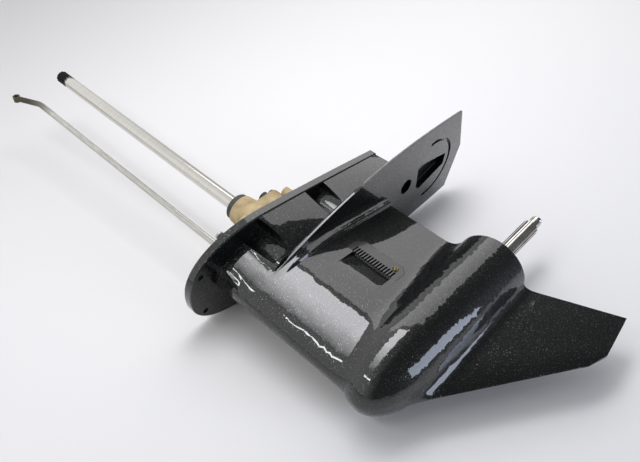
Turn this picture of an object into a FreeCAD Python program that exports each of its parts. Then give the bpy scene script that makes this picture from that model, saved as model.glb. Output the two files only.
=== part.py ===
import FreeCAD, Part
import math
import os

import Sketcher

# Outboard lower unit, upright as it hangs under the engine's mid section.
# X points aft, Y to starboard, Z up. The origin is on the driveshaft axis, in the deck's top face.

V = FreeCAD.Vector
doc = FreeCAD.newDocument("outboard_lower_unit")

# Driving dimensions in millimetres. Depths are measured down from the deck's top face,
# fore and aft places from the driveshaft axis.
SIZES = (
    ("deck_thickness", 12),
    ("deck_edge_bevel", 1.5),
    ("deck_front", 168),
    ("deck_back", 217),
    ("deck_half_width", 76),
    ("deck_back_half_width", 35.5),
    ("deck_widest_ahead", 53),
    ("deck_recess_depth", 6),
    ("deck_recess_front", 98),
    ("deck_recess_back", 110),
    ("deck_recess_half_width", 41),
    ("stud_hole_radius", 4.5),
    ("front_stud_ahead", 146),
    ("front_stud_side", 36),
    ("pocket_radius", 20),
    ("pocket_side", 53),
    ("front_pocket_ahead", 54),
    ("back_pocket_behind", 70),
    ("pocket_floor_depth", 66),
    ("pocket_floor_round", 6),
    ("pocket_outset", 3),
    ("dowel_radius", 4),
    ("dowel_height", 9),
    ("dowel_behind", 205),
    ("dowel_ahead", 122),
    ("dowel_ahead_side", 50),
    ("neck_front", 113),
    ("neck_end_half_width", 34),
    ("neck_foot_half_width", 45),
    ("neck_bow_flare", 8),
    ("root_step", 7),
    ("neck_inset", 1.5),
    ("plate_under_depth", 74.7),
    ("plate_thickness", 6),
    ("plate_edge_bevel", 3),
    ("plate_front", 91),
    ("plate_front_half_width", 21),
    ("plate_widest_behind", 230),
    ("plate_half_width", 87),
    ("plate_corner_behind", 354.7),
    ("plate_corner_half_width", 82),
    ("plate_back", 377.6),
    ("tab_boss_height", 20),
    ("tab_boss_front", 200),
    ("tab_boss_back", 344),
    ("tab_boss_half_width", 35),
    ("tab_socket_radius", 13.5),
    ("tab_socket_behind", 223),
    ("tab_socket_depth", 20),
    ("tab_recess_depth", 12),
    ("tab_recess_behind", 250),
    ("tab_recess_length", 80),
    ("tab_recess_half_width", 28),
    ("tab_groove_radius", 58),
    ("tab_groove_width", 6),
    ("tab_groove_depth", 3.5),
    ("tab_groove_centre_behind", 287),
    ("leg_front", 121),
    ("leg_top_depth", 26),
    ("leg_back", 169),
    ("leg_half_thickness", 35),
    ("leg_tail_half_thickness", 2.5),
    ("prop_axis_depth", 265.5),
    ("torpedo_radius", 54.5),
    ("torpedo_nose", 128),
    ("torpedo_back", 178.4),
    ("torpedo_back_radius", 53.6),
    ("torpedo_rim_round", 4.5),
    ("torpedo_blend_radius", 30),
    ("skeg_root_front", 69),
    ("skeg_root_back", 171),
    ("skeg_depth", 456),
    ("skeg_tip_front", 137),
    ("skeg_tip_back", 231),
    ("skeg_tip_rise", 7),
    ("skeg_tip_corner", 15),
    ("skeg_half_thickness", 6),
    ("skeg_tip_half_thickness", 3),
    ("skeg_blend_radius", 20),
    ("driveshaft_radius", 11),
    ("driveshaft_top", 570.6),
    ("driveshaft_spline_length", 28),
    ("driveshaft_spline_depth", 1.3),
    ("driveshaft_spline_count", 12),
    ("driveshaft_lower_radius", 8.5),
    ("driveshaft_bore_radius", 16),
    ("running_clearance", 0.05),
    ("free_clearance", 0.3),
    ("upper_bearing_radius", 26),
    ("upper_bearing_depth", 28),
    ("upper_bearing_length", 18),
    ("seal_length", 8),
    ("pinion_bearing_radius", 23),
    ("pinion_bearing_length", 20),
    ("gear_module", 3),
    ("pinion_teeth", 13),
    ("gear_teeth", 26),
    ("gear_face_width", 12.5),
    ("tooth_backlash", 0.6),
    ("pinion_hub_radius", 15),
    ("pinion_front", 27.8),
    ("pinion_back", 47),
    ("pinion_thread_radius", 7),
    ("pinion_nut_radius", 11),
    ("pinion_nut_thickness", 5.5),
    ("gear_back", 30),
    ("gear_hub_end", 55),
    ("gear_dog_tip", 14),
    ("gear_dog_length", 5),
    ("dog_inner_radius", 14.5),
    ("dog_outer_radius", 20.5),
    ("dog_count", 8),
    ("dog_angle", 18),
    ("clutch_body_half", 7.5),
    ("clutch_dog_tip", 13),
    ("clutch_travel", 5.5),
    ("clutch_groove_floor", 18.3),
    ("clutch_spring_radius", 1),
    ("cross_pin_radius", 2.5),
    ("gear_cavity_radius", 43),
    ("gear_cavity_front", 57),
    ("forward_bearing_radius", 36),
    ("forward_bearing_front", 54),
    ("forward_bearing_back", 36),
    ("forward_hub_radius", 17.5),
    ("reverse_hub_radius", 20),
    ("cam_chamber_radius", 26),
    ("cam_chamber_front", 98),
    ("carrier_pilot_back", 78),
    ("exhaust_chamber_radius", 46),
    ("exhaust_mouth_front", 122),
    ("exhaust_mouth_back", 190),
    ("exhaust_mouth_half_width", 24),
    ("exhaust_throat_front", 62),
    ("exhaust_throat_back", 140),
    ("exhaust_throat_half_width", 11),
    ("exhaust_foot_front", 84),
    ("exhaust_foot_back", 126),
    ("exhaust_foot_half_width", 9),
    ("shaft_front_end", 47.5),
    ("shaft_front_radius", 11),
    ("shaft_middle_radius", 12.7),
    ("shaft_main_radius", 15.9),
    ("shaft_collar_radius", 19),
    ("shaft_collar_front", 58),
    ("shaft_collar_back", 64),
    ("shaft_cone_start", 183),
    ("shaft_cone_end", 198),
    ("prop_spline_radius", 12.7),
    ("prop_spline_depth", 1.6),
    ("prop_spline_count", 15),
    ("prop_thread_radius", 9),
    ("prop_thread_length", 20),
    ("prop_shaft_tip", 307.7),
    ("slider_radius", 3),
    ("slider_head_radius", 5),
    ("slider_head_length", 3.6),
    ("follower_radius", 8),
    ("follower_front", 62.2),
    ("follower_back", 54.2),
    ("follower_neck", 1.8),
    ("shift_rod_radius", 5),
    ("shift_rod_ahead", 74.7),
    ("shift_rod_bend_height", 521),
    ("shift_rod_bend_radius", 30),
    ("shift_rod_eye_height", 570.6),
    ("shift_rod_eye_ahead", 94.8),
    ("shift_rod_eye_radius", 6.2),
    ("shift_rod_eye_hole", 3.1),
    ("shift_rod_travel", 8),
    ("shift_rod_bore_radius", 9.5),
    ("cam_slot_ahead", 80),
    ("cam_thickness", 7),
    ("cam_half_height", 15.5),
    ("cam_half_width", 11.8),
    ("cam_neck_half_width", 7),
    ("cam_neck_height", 3),
    ("cam_hub_radius", 8),
    ("cam_hub_height", 12),
    ("cam_pin_radius", 3),
    ("needle_bore_radius", 14.5),
    ("reverse_race_radius", 28),
    ("reverse_bearing_radius", 36),
    ("reverse_bearing_back", 50),
    ("carrier_front", 34),
    ("carrier_tube_radius", 27),
    ("carrier_needle_front", 128),
    ("carrier_needle_back", 150),
    ("carrier_window_count", 6),
    ("ring_notch_count", 8),
    ("ring_notch_inner", 6),
    ("ring_notch_outer", 2.5),
    ("ring_notch_depth", 4),
    ("shaft_seal_radius", 22),
    ("shaft_seal_length", 7),
    ("o_ring_place", 64),
    ("o_ring_section", 1.3),
    ("carrier_disc_front", 158),
    ("carrier_disc_back", 167),
    ("needle_outer_radius", 20),
    ("carrier_ring_back", 174),
    ("side_hole_radius", 2.5),
    ("side_hole_behind", 158),
    ("side_hole_depth", 52),
    ("intake_front", 1),
    ("intake_plate_front", 37),
    ("intake_plate_back", 67),
    ("intake_top_depth", 108),
    ("intake_bottom_depth", 195),
    ("intake_plate_thickness", 3),
    ("intake_plate_corner", 10),
    ("intake_scoop_depth", 6),
    ("intake_scoop_top_inset", 12),
    ("intake_scoop_bottom_inset", 7),
    ("intake_slot_count", 15),
    ("intake_slot_length", 13),
    ("intake_slot_width", 2.5),
    ("intake_slot_margin", 10),
    ("screen_sink", 0.2),
    ("screen_screw_radius", 2.1),
    ("screen_screw_head_radius", 4.2),
    ("screen_screw_in", 18.5),
    ("screen_screw_up", 14),
    ("gasket_thickness", 0.5),
    ("impeller_base", 2),
    ("spigot_length", 6),
    ("pump_front", 40),
    ("pump_back", 66),
    ("pump_half_width", 38),
    ("pump_corner_cut", 12),
    ("pump_flange_thickness", 7),
    ("pump_foot_radius", 34),
    ("pump_boss_top", 33),
    ("pump_boss_radius", 8),
    ("pump_boss_inset", 9),
    ("outlet_back", 64),
    ("outlet_half_width", 18),
    ("outlet_top", 57),
    ("grommet_behind", 43),
    ("grommet_radius", 9),
    ("grommet_lip", 2),
    ("grommet_height", 13),
    ("grommet_plug_height", 10.4),
    ("grommet_stem_length", 16),
    ("grommet_plug_behind", 13.5),
    ("water_outlet_radius", 5),
    ("water_duct_radius", 4),
    ("key_width", 4),
    ("key_length", 12),
    ("water_way_front", 41),
    ("water_way_length", 13),
    ("water_way_half_width", 7),
    ("inlet_port_front", 13.5),
    ("inlet_port_back", 24),
    ("wear_plate_thickness", 1.5),
    ("liner_radius", 27),
    ("liner_offset", 2),
    ("liner_wall", 2),
    ("impeller_height", 18),
    ("impeller_hub_radius", 16),
    ("impeller_blade_count", 6),
    ("impeller_vane_thickness", 2.4),
    ("impeller_vane_root", 2),
    ("impeller_bead_radius", 2),
    ("impeller_bead_trail", 0.6),
    ("pump_tower_radius", 23.5),
    ("pump_top", 73.5),
    ("collar_radius", 21.5),
    ("collar_height", 11),
    ("pump_bolt_radius", 3),
    ("screw_grip", 12),
    ("screw_head_radius", 5),
    ("screw_head_height", 4.5),
    ("screw_head_sink", 6),
    ("rod_guide_radius", 13),
    ("rod_guide_height", 39),
    ("rod_guide_cone", 6),
    ("rod_guide_spigot", 14),
    ("guide_ear_radius", 6.5),
    ("guide_bolt_radius", 3),
    ("guide_bolt_behind", 5),
    ("guide_bolt_side", 19),
    ("plug_radius", 6),
    ("plug_length", 10),
    ("plug_head_overlap", 3),
    ("plug_head_height", 3),
    ("plug_spot_sink", 3.5),
    ("plug_washer_thickness", 1),
    ("drain_plug_ahead", 30),
    ("drain_plug_below_shaft", 34),
    ("drain_hole_depth", 14),
    ("level_plug_ahead", 5),
    ("level_plug_depth", 98),
    ("level_hole_depth", 19),
)

sheet = doc.addObject("Spreadsheet::Sheet", "Sizes")
for row, (alias, number) in enumerate(SIZES, start=1):
    sheet.set(f"A{row}", alias)
    sheet.set(f"B{row}", str(number))
    sheet.setAlias(f"B{row}", alias)
doc.recompute()

# A piece's upright axis turned along the propeller shaft, pointing aft or forward.
AFT = FreeCAD.Rotation(V(0, 1, 0), 90)
FORWARD = FreeCAD.Rotation(V(0, 1, 0), -90)
UPRIGHT = FreeCAD.Rotation()


def size(alias):
    return float(sheet.getPropertyByName(alias))


def count(alias):
    return int(round(size(alias)))


def place(made, base, turned=UPRIGHT):
    """Puts a piece at base, three expressions in the sheet's names."""
    made.Placement = FreeCAD.Placement(V(0, 0, 0), turned)
    for axis, expression in zip("xyz", base):
        if expression != "0":
            made.setExpression(f".Placement.Base.{axis}", expression)
    return made


def outline_sketch(body, corners, role):
    """A closed outline in one of the body's own planes, each corner held by two expressions."""
    made = body.newObject("Sketcher::SketchObject", body.Label + "_outline")
    made.AttachmentSupport = [(next(f for f in body.Origin.OriginFeatures if f.Role == role), "")]
    made.MapMode = "FlatFace"
    total = len(corners)
    points = [V(*(float(sheet.evalExpression(text)) for text in corner)) for corner in corners]
    for i in range(total):
        made.addGeometry(Part.LineSegment(points[i], points[(i + 1) % total]), False)
    for i in range(total):
        made.addConstraint(Sketcher.Constraint("Coincident", i, 2, (i + 1) % total, 1))
    for i, corner in enumerate(corners):
        for kind, expression in zip(("DistanceX", "DistanceY"), corner):
            start = points[i].x if kind == "DistanceX" else points[i].y
            held = made.addConstraint(Sketcher.Constraint(kind, -1, 1, i, 1, start))
            made.setExpression(f"Constraints[{held}]", expression)
    return made


def new_body(label):
    made = doc.addObject("PartDesign::Body", label)
    made.Label = label
    return made


def turned_piece(label, corners, base=("0", "0", "0"), turned=UPRIGHT):
    """A lathe-turned piece: its half section, radius and height, turned about the upright axis."""
    body = new_body(label)
    section = outline_sketch(body, corners, "XZ_Plane")
    spin = body.newObject("PartDesign::Revolution", label + "_turn")
    spin.Profile = section
    spin.ReferenceAxis = (section, ["V_Axis"])
    spin.Angle = 360
    body.Tip = spin
    return place(body, base, turned)


def ring(label, bore, radius, low, high, base=("0", "0", "0"), turned=UPRIGHT):
    return turned_piece(label, ((bore, low), (radius, low), (radius, high), (bore, high)), base, turned)


def flat_piece(label, corners, thickness, base=("0", "0", "0"), turned=UPRIGHT):
    """A plate: its outline padded upwards."""
    body = new_body(label)
    section = outline_sketch(body, corners, "XY_Plane")
    pad = body.newObject("PartDesign::Pad", label + "_pad")
    pad.Profile = section
    pad.setExpression("Length", thickness)
    body.Tip = pad
    return place(body, base, turned)


def cylinder(label, radius, height, base, turned=UPRIGHT):
    made = doc.addObject("Part::Cylinder", label)
    made.Label = label
    made.setExpression("Radius", radius)
    made.setExpression("Height", height)
    return place(made, base, turned)


def block(label, length, width, height, base):
    """A box whose base point is its lowest corner."""
    made = doc.addObject("Part::Box", label)
    made.Label = label
    made.setExpression("Length", length)
    made.setExpression("Width", width)
    made.setExpression("Height", height)
    return place(made, base)


def joined(label, pieces):
    made = doc.addObject("Part::MultiFuse", label)
    made.Label = label
    made.Shapes = pieces
    return made


def cut(label, whole, tool):
    made = doc.addObject("Part::Cut", label)
    made.Label = label
    made.Base = whole
    made.Tool = tool
    return made


def shaped(label, shape, at=None):
    made = doc.addObject("Part::Feature", label)
    made.Label = label
    made.Shape = shape
    if at is not None:
        made.Placement = at
    return made


def prop_place(turned=AFT, rise=0.0):
    """A placement on the propeller shaft's axis, below the driveshaft."""
    return FreeCAD.Placement(V(0, 0, rise - size("prop_axis_depth")), turned)


PROP_BASE = ("0", "0", "-Sizes.prop_axis_depth")


# The gearcase casting: leg, torpedo, skeg, anti-ventilation plate, neck and deck in one.


def leg_half(x):
    """Half thickness of the leg's foil section, at a place aft of the driveshaft."""
    front, chord = -size("leg_front"), size("leg_front") + size("leg_back")
    along = min(max((x - front) / chord, 0.0), 1.0)
    fullest = math.sqrt(2 / 7) * (5 / 7) ** 1.25
    swell = math.sqrt(along) * (1 - along) ** 1.25 / fullest
    return size("leg_half_thickness") * swell + size("leg_tail_half_thickness") * along


def torpedo_half(x):
    """Radius of the torpedo at x: a rounded nose that runs into a nearly straight barrel."""
    full = size("torpedo_radius")
    if x >= 0:
        return full - (full - size("torpedo_back_radius")) * (x / size("torpedo_back")) ** 2
    short = min(-x / size("torpedo_nose"), 1.0)
    return full * (1 - short**2.5) ** (1 / 2.2)


def faired_half(half, level, radius, blend):
    """Half width of a blade that blends into a round body, at a height over the body's axis."""
    reach = (radius + blend) ** 2 - (half + blend) ** 2
    if reach <= 0:
        return half
    centre = math.sqrt(reach)
    touch = radius * centre / (radius + blend)
    if level >= centre:
        return half
    if level >= touch:
        return half + blend - math.sqrt(blend**2 - (centre - level) ** 2)
    inside = 1.5
    return max(math.sqrt(max(radius**2 - level**2, 0.0)) - inside, half)


def section_wire(stations, z):
    """A closed section through (x, half width) stations from the rounded nose to the blunt tail."""
    port = [V(x, -half, z) for x, half in stations]
    starboard = [V(x, half, z) for x, half in reversed(stations[1:])]
    points = starboard + port
    curve = Part.BSplineCurve()
    curve.interpolate(Points=points, Parameters=[float(i) for i in range(len(points))])
    return Part.Wire([curve.toShape(), Part.makeLine(port[-1], starboard[0])])


def nose_spaced(front, back, steps):
    """Places from front to back, closest together at the rounded nose."""
    return [front + (back - front) * (i / steps) ** 2 for i in range(steps + 1)]


def leg_shape():
    """The strut from inside the neck down to inside the torpedo, with its blend."""
    axis = -size("prop_axis_depth")
    radius, blend = size("torpedo_radius"), size("torpedo_blend_radius")
    levels = [-size("leg_top_depth")]
    shares = (0.95, 0.75, 0.55, 0.35, 0.2, 0.05, -0.1, -0.3, -0.6, -1.0, -1.4)
    levels += [axis + radius + blend * share for share in shares]
    places = nose_spaced(-size("leg_front"), size("leg_back"), 9)
    wires = []
    for z in levels:
        stations = [(places[0], 0.0)]
        for x in places[1:]:
            stations.append((x, faired_half(leg_half(x), z - axis, torpedo_half(x), blend)))
        wires.append(section_wire(stations, z))
    return Part.makeLoft(wires, True, True)


def torpedo_shape():
    axis, nose, back = -size("prop_axis_depth"), -size("torpedo_nose"), size("torpedo_back")
    edge = size("torpedo_rim_round")
    shares = (0.0, 0.012, 0.05, 0.12, 0.25, 0.45, 0.7, 1.0)
    profile = [V(nose * (1 - share), 0, axis + torpedo_half(nose * (1 - share))) for share in shares]
    barrel_end = back - edge
    profile += [V(x, 0, axis + torpedo_half(x)) for x in (0.5 * barrel_end, barrel_end)]
    curve = Part.BSplineCurve()
    curve.interpolate(profile)
    rim, turned = profile[-1], math.sqrt(0.5)
    low = V(back, 0, rim.z - edge)
    middle = rim + V(edge * turned, 0, edge * (turned - 1))
    closing = [Part.Arc(rim, middle, low).toShape(), Part.makeLine(low, V(back, 0, axis))]
    closing.append(Part.makeLine(V(back, 0, axis), profile[0]))
    face = Part.Face(Part.Wire([curve.toShape()] + closing))
    return face.revolve(V(0, 0, axis), V(1, 0, 0), 360)


def skeg_shape():
    """A swept fin whose front and back edges are straight, blended into the torpedo's belly."""
    axis, bottom = -size("prop_axis_depth"), -size("skeg_depth")
    radius, blend = size("torpedo_radius"), size("skeg_blend_radius")
    root, thick, thin = axis - radius, size("skeg_half_thickness"), size("skeg_tip_half_thickness")
    levels = [root + blend * share for share in (0.6, 0.3, 0.1, -0.1, -0.25, -0.4, -0.6, -0.9)]
    levels.append(bottom - 4)
    wires = []
    for z in levels:
        down = (root - z) / (root - bottom)
        front = -size("skeg_root_front") + (size("skeg_root_front") + size("skeg_tip_front")) * down
        back = size("skeg_root_back") + (size("skeg_tip_back") - size("skeg_root_back")) * down
        half = thick + (thin - thick) * down
        stations = [(front, 0.0)]
        for x in nose_spaced(front, back, 6)[1:]:
            along = (x - front) / (back - front)
            foil = half * min(1.0, 2.2 * math.sqrt(along)) * (1 - 0.55 * along**2)
            stations.append((x, faired_half(foil, axis - z, torpedo_half(x), blend)))
        wires.append(section_wire(stations, z))
    fin = Part.makeLoft(wires, True, True)
    tip_front, tip_back = size("skeg_tip_front"), size("skeg_tip_back")
    corner, wide = size("skeg_tip_corner"), size("torpedo_radius")
    below = bottom - 2 * corner
    edge = [
        V(tip_front - 2 * corner, -wide, bottom + corner),
        V(tip_front + corner, -wide, bottom),
        V(tip_back + 2 * corner, -wide, bottom + 1.5 * size("skeg_tip_rise")),
        V(tip_back + 2 * corner, -wide, below),
        V(tip_front - 2 * corner, -wide, below),
    ]
    low = Part.Face(Part.makePolygon(edge + edge[:1]))
    return fin.cut(low.extrude(V(0, 2 * wide, 0)))


def deck_half(x):
    """Half width of the deck's outline at x: a rounded bow, then a long taper aft."""
    widest = -size("deck_widest_ahead")
    if x <= widest:
        short = min((widest - x) / (size("deck_front") + widest), 1.0)
        return size("deck_half_width") * (1 - short**2.3) ** (1 / 2.3)
    along = (x - widest) / (size("deck_back") - widest)
    return size("deck_half_width") - (size("deck_half_width") - size("deck_back_half_width")) * along**1.15


def deck_shape():
    places = nose_spaced(-size("deck_front"), size("deck_back"), 14)
    stations = [(x, deck_half(x)) for x in places]
    bevel = size("deck_edge_bevel")
    top = section_wire(stations, 0)
    side = section_wire(stations, bevel - size("deck_thickness"))
    inner = [(x + bevel if i == 0 else x, max(half - bevel, 0)) for i, (x, half) in enumerate(stations)]
    low = section_wire(inner, -size("deck_thickness"))
    return Part.makeLoft([side, top], True, True).fuse(Part.makeLoft([low, side], True, True))


def eased(x, start, end):
    """A smooth step from 0 at start to 1 at end."""
    along = min(max((x - start) / (end - start), 0.0), 1.0)
    return along * along * (3 - 2 * along)


def neck_shape():
    """The neck: slim ahead of the pockets, then as wide as the deck above and past the leg below."""
    top, low = -size("deck_thickness") + 2, 4 - size("plate_under_depth")
    foot, tail = size("neck_foot_half_width"), size("neck_end_half_width")
    pocket = -size("front_pocket_ahead")
    first, last = pocket - size("pocket_radius"), pocket + size("pocket_radius")

    def upper(x):
        slim = leg_half(x) + size("neck_bow_flare")
        full = deck_half(x) - size("neck_inset")
        return slim + (full - slim) * eased(x, first, last)

    def lower(x):
        inside = leg_half(min(x, last)) - 1.2
        bulge = inside + (foot - inside) * eased(x, first, pocket)
        return bulge + (tail + 4 - bulge) * eased(x, 40, 120)

    back = size("deck_back") - size("neck_inset")
    wires = []
    for z, flare in ((top, 1.0), (0.5 * top + 0.5 * low, 0.58), (low, 0.0)):
        front = -size("leg_front") + 1.5 + (size("leg_front") - 1.5 - size("neck_front")) * flare
        places = nose_spaced(front, first - 6, 5) + [first + 4, pocket, last - 4, last + 9]
        places += [0, 25, 45, 70, 100, 140, 180, back]
        stations = [(front, 0.0)]
        stations += [(x, flare * upper(x) + (1 - flare) * lower(x)) for x in places[1:]]
        wires.append(section_wire(stations, z))
    return Part.makeLoft(wires, True, False)


def root_shape():
    """The rounded step round the leg's root, under the plate."""
    under, front, back = -size("plate_under_depth"), -size("leg_front") + 2, size("leg_back") + 2
    step = size("root_step")
    places = nose_spaced(front, back, 10)
    wires = []
    for drop, extra in ((-2, 1.35), (1, 1.05), (4, 0.92), (7, 0.85), (9, 0.7), (10.5, 0.35), (12, -0.15)):
        stations = [(front, 0.0)]
        for x in places[1:]:
            grown = step * extra * eased(x, -90, 10)
            stations.append((x, leg_half(min(x, size("leg_back"))) - 0.4 + grown))
        wires.append(section_wire(stations, under - drop))
    return Part.makeLoft(wires, True, True)


def plate_half(x):
    front, widest = -size("plate_front"), size("plate_widest_behind")
    tip, full = size("plate_front_half_width"), size("plate_half_width")
    if x < widest:
        along = max((x - front) / (widest - front), 0.0)
        return tip + (full - tip) * math.sin(math.pi / 2 * along**0.8)
    along = (x - widest) / (size("plate_corner_behind") - widest)
    return full + (size("plate_corner_half_width") - full) * along**2


def plate_wire(z, inset):
    front, corner = -size("plate_front"), size("plate_corner_behind") - inset
    places = [front + (corner - front) * share for share in (0, 0.04, 0.12, 0.25, 0.42, 0.62, 0.82, 1)]
    port = [V(x, inset - plate_half(x), z) for x in places]
    starboard = [V(p.x, -p.y, z) for p in port]
    tip = V(size("plate_back") - inset, 0, z)
    sides = []
    for points in (port, starboard):
        curve = Part.BSplineCurve()
        curve.interpolate(points)
        sides.append(curve.toShape())
    corners = [port[-1], tip, starboard[-1]]
    ends = [Part.makeLine(a, b) for a, b in zip(corners, corners[1:])]
    ends.append(Part.makeLine(starboard[0], port[0]))
    return Part.Wire(Part.sortEdges(sides + ends)[0])


def plate_shape():
    under = -size("plate_under_depth")
    middle, top = under + size("plate_thickness") / 2, under + size("plate_thickness")
    lower = Part.makeLoft([plate_wire(under, 0), plate_wire(middle, 0)], True, True)
    upper = Part.makeLoft([plate_wire(middle, 0), plate_wire(top, size("plate_edge_bevel"))], True, True)
    return lower.fuse(upper)


def capsule(front, back, half, low, high):
    """An upright block with round ends, from front to back."""
    long = Part.makeBox(back - front - 2 * half, 2 * half, high - low, V(front + half, -half, low))
    ends = [Part.makeCylinder(half, high - low, V(x, 0, low)) for x in (front + half, back - half)]
    return long.multiFuse(ends).removeSplitter()


def tail_shape():
    """The neck's hollow back corner, which sweeps down on to the trim tab's boss."""
    under = -size("plate_under_depth")
    boss_top = under + size("plate_thickness") + size("tab_boss_height")
    half, back = size("tab_boss_half_width"), size("deck_back") - size("neck_inset")
    deck_low = -size("deck_thickness")
    start, middle = V(back, 0, deck_low - 12), V(back + 6, 0, boss_top + 8)
    end = V(back + 28, 0, boss_top - 1)
    sweep = Part.Arc(start, middle, end).toShape()
    corners = [end, V(end.x, 0, under + 2), V(back - 30, 0, under + 2), V(back - 30, 0, deck_low - 2)]
    corners += [V(back, 0, deck_low - 2), start]
    edge = Part.Wire([sweep] + [Part.makeLine(a, b) for a, b in zip(corners, corners[1:])])
    narrow = half - 1.5
    return Part.Face(edge).translated(V(0, -narrow, 0)).extrude(V(0, 2 * narrow, 0))


def casting_shape():
    under = -size("plate_under_depth")
    boss_top = under + size("plate_thickness") + size("tab_boss_height")
    boss = capsule(
        size("tab_boss_front"), size("tab_boss_back"), size("tab_boss_half_width"), under + 1, boss_top
    )
    whole = torpedo_shape().fuse(leg_shape())
    for form in (skeg_shape, plate_shape, neck_shape, root_shape, tail_shape):
        whole = whole.fuse(form())
    whole = whole.fuse(boss).fuse(deck_shape())
    return whole


casting = shaped("casting_form", casting_shape())

# What is drilled, bored and cored out of the casting.

DECK_LOW = -size("deck_recess_depth")
OVER = 5

recess_ends = (-size("deck_recess_front"), size("deck_recess_back"))
hollows = [shaped("deck_recess", capsule(*recess_ends, size("deck_recess_half_width"), DECK_LOW, OVER))]


def rounded_pocket(name, place_x, side):
    """A stud's pocket under the deck, open at the neck's side, with a rounded floor."""
    bar = cylinder(
        f"{name}_bar",
        "Sizes.pocket_radius",
        "Sizes.pocket_floor_depth - Sizes.deck_thickness",
        (place_x, f"{side}(Sizes.pocket_side + Sizes.pocket_outset)", "-Sizes.pocket_floor_depth"),
    )
    doc.recompute()
    floor = min(range(len(bar.Shape.Edges)), key=lambda i: bar.Shape.Edges[i].CenterOfMass.z)
    made = doc.addObject("Part::Fillet", name)
    made.Base = bar
    made.Edges = [(floor + 1, size("pocket_floor_round"), size("pocket_floor_round"))]
    return made



for side_name, side in (("port", "-"), ("starboard", "")):
    for name, place_x in (
        ("front_stud", "-Sizes.front_stud_ahead"),
        ("front_pocket_stud", "-Sizes.front_pocket_ahead"),
        ("back_pocket_stud", "Sizes.back_pocket_behind"),
    ):
        across = "front_stud_side" if name == "front_stud" else "pocket_side"
        hollows.append(
            cylinder(
                f"{name}_hole_{side_name}",
                "Sizes.stud_hole_radius",
                f"Sizes.deck_thickness + {2 * OVER}",
                (place_x, f"{side}Sizes.{across}", f"-Sizes.deck_thickness - {OVER}"),
            )
        )
    for name, place_x in (
        ("front_pocket", "-Sizes.front_pocket_ahead"),
        ("back_pocket", "Sizes.back_pocket_behind"),
    ):
        hollows.append(rounded_pocket(f"{name}_{side_name}", place_x, side))
hollows.append(
    cylinder(
        "dowel_hole_back",
        "Sizes.dowel_radius",
        "Sizes.dowel_height + 5",
        ("Sizes.dowel_behind", "0", "-Sizes.dowel_height"),
    )
)
hollows.append(
    cylinder(
        "dowel_hole_front",
        "Sizes.dowel_radius",
        "Sizes.dowel_height + 5",
        ("-Sizes.dowel_ahead", "Sizes.dowel_ahead_side", "-Sizes.dowel_height"),
    )
)
hollows.append(
    cylinder(
        "driveshaft_bore",
        "Sizes.driveshaft_bore_radius",
        "Sizes.prop_axis_depth",
        ("0", "0", "-Sizes.prop_axis_depth"),
    )
)
hollows.append(
    cylinder(
        "upper_bearing_seat",
        "Sizes.upper_bearing_radius",
        "Sizes.upper_bearing_depth + Sizes.upper_bearing_length",
        ("0", "0", "-Sizes.upper_bearing_depth - Sizes.upper_bearing_length"),
    )
)
hollows.append(
    cylinder(
        "pinion_bearing_seat",
        "Sizes.pinion_bearing_radius",
        "Sizes.pinion_back + 1 + Sizes.pinion_bearing_length",
        ("0", "0", "-Sizes.prop_axis_depth"),
    )
)
hollows.append(
    cylinder(
        "shift_rod_bore",
        "Sizes.shift_rod_bore_radius",
        "Sizes.prop_axis_depth",
        ("-Sizes.shift_rod_ahead", "0", "-Sizes.prop_axis_depth"),
    )
)
hollows.append(
    cylinder(
        "cam_chamber",
        "Sizes.cam_chamber_radius",
        "Sizes.cam_chamber_front",
        ("-Sizes.cam_chamber_front", "0", "-Sizes.prop_axis_depth"),
        AFT,
    )
)
hollows.append(
    cylinder(
        "forward_bearing_seat",
        "Sizes.forward_bearing_radius",
        "Sizes.gear_cavity_front",
        ("-Sizes.gear_cavity_front", "0", "-Sizes.prop_axis_depth"),
        AFT,
    )
)
hollows.append(
    cylinder(
        "gear_cavity",
        "Sizes.gear_cavity_radius",
        "Sizes.forward_bearing_back + Sizes.carrier_pilot_back",
        ("-Sizes.forward_bearing_back", "0", "-Sizes.prop_axis_depth"),
        AFT,
    )
)
hollows.append(
    cylinder(
        "exhaust_chamber",
        "Sizes.exhaust_chamber_radius",
        "Sizes.torpedo_back - Sizes.carrier_pilot_back + 10",
        ("Sizes.carrier_pilot_back", "0", "-Sizes.prop_axis_depth"),
        AFT,
    )
)
hollows.append(
    cylinder(
        "tab_socket",
        "Sizes.tab_socket_radius",
        "Sizes.tab_socket_depth + 5",
        ("Sizes.tab_socket_behind", "0", "-Sizes.plate_under_depth - 5"),
    )
)


def exhaust_duct():
    """The cored gas passage, from the deck's back opening down through the leg to the torpedo."""
    wires = []
    axis = -size("prop_axis_depth")
    for z, level in (
        (OVER, "mouth"),
        (-2.5 * size("deck_thickness"), "mouth"),
        (-size("plate_under_depth"), "throat"),
        (axis + size("torpedo_radius"), "foot"),
        (axis + 0.5 * size("torpedo_radius"), "foot"),
    ):
        front, back = size(f"exhaust_{level}_front"), size(f"exhaust_{level}_back")
        half = size(f"exhaust_{level}_half_width")
        tail = half * 0.45
        corners = [V(front, -half, z), V(back, -tail, z), V(back, tail, z), V(front, half, z)]
        wires.append(Part.makePolygon(corners + corners[:1]))
    return Part.makeLoft(wires, True, True)


def tab_recess():
    """The shallow pocket that keys the trim tab, seen from below."""
    low = -size("plate_under_depth") - 2
    start, long, half = size("tab_recess_behind"), size("tab_recess_length"), size("tab_recess_half_width")
    corners = [(0, -0.93), (0.05, 0.82), (0.18, 1.07), (0.98, 0.5), (1, -0.32)]
    points = [V(start + along * long, across * half, low) for along, across in corners]
    return Part.Face(Part.makePolygon(points + points[:1])).extrude(V(0, 0, size("tab_recess_depth") + 2))


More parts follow.
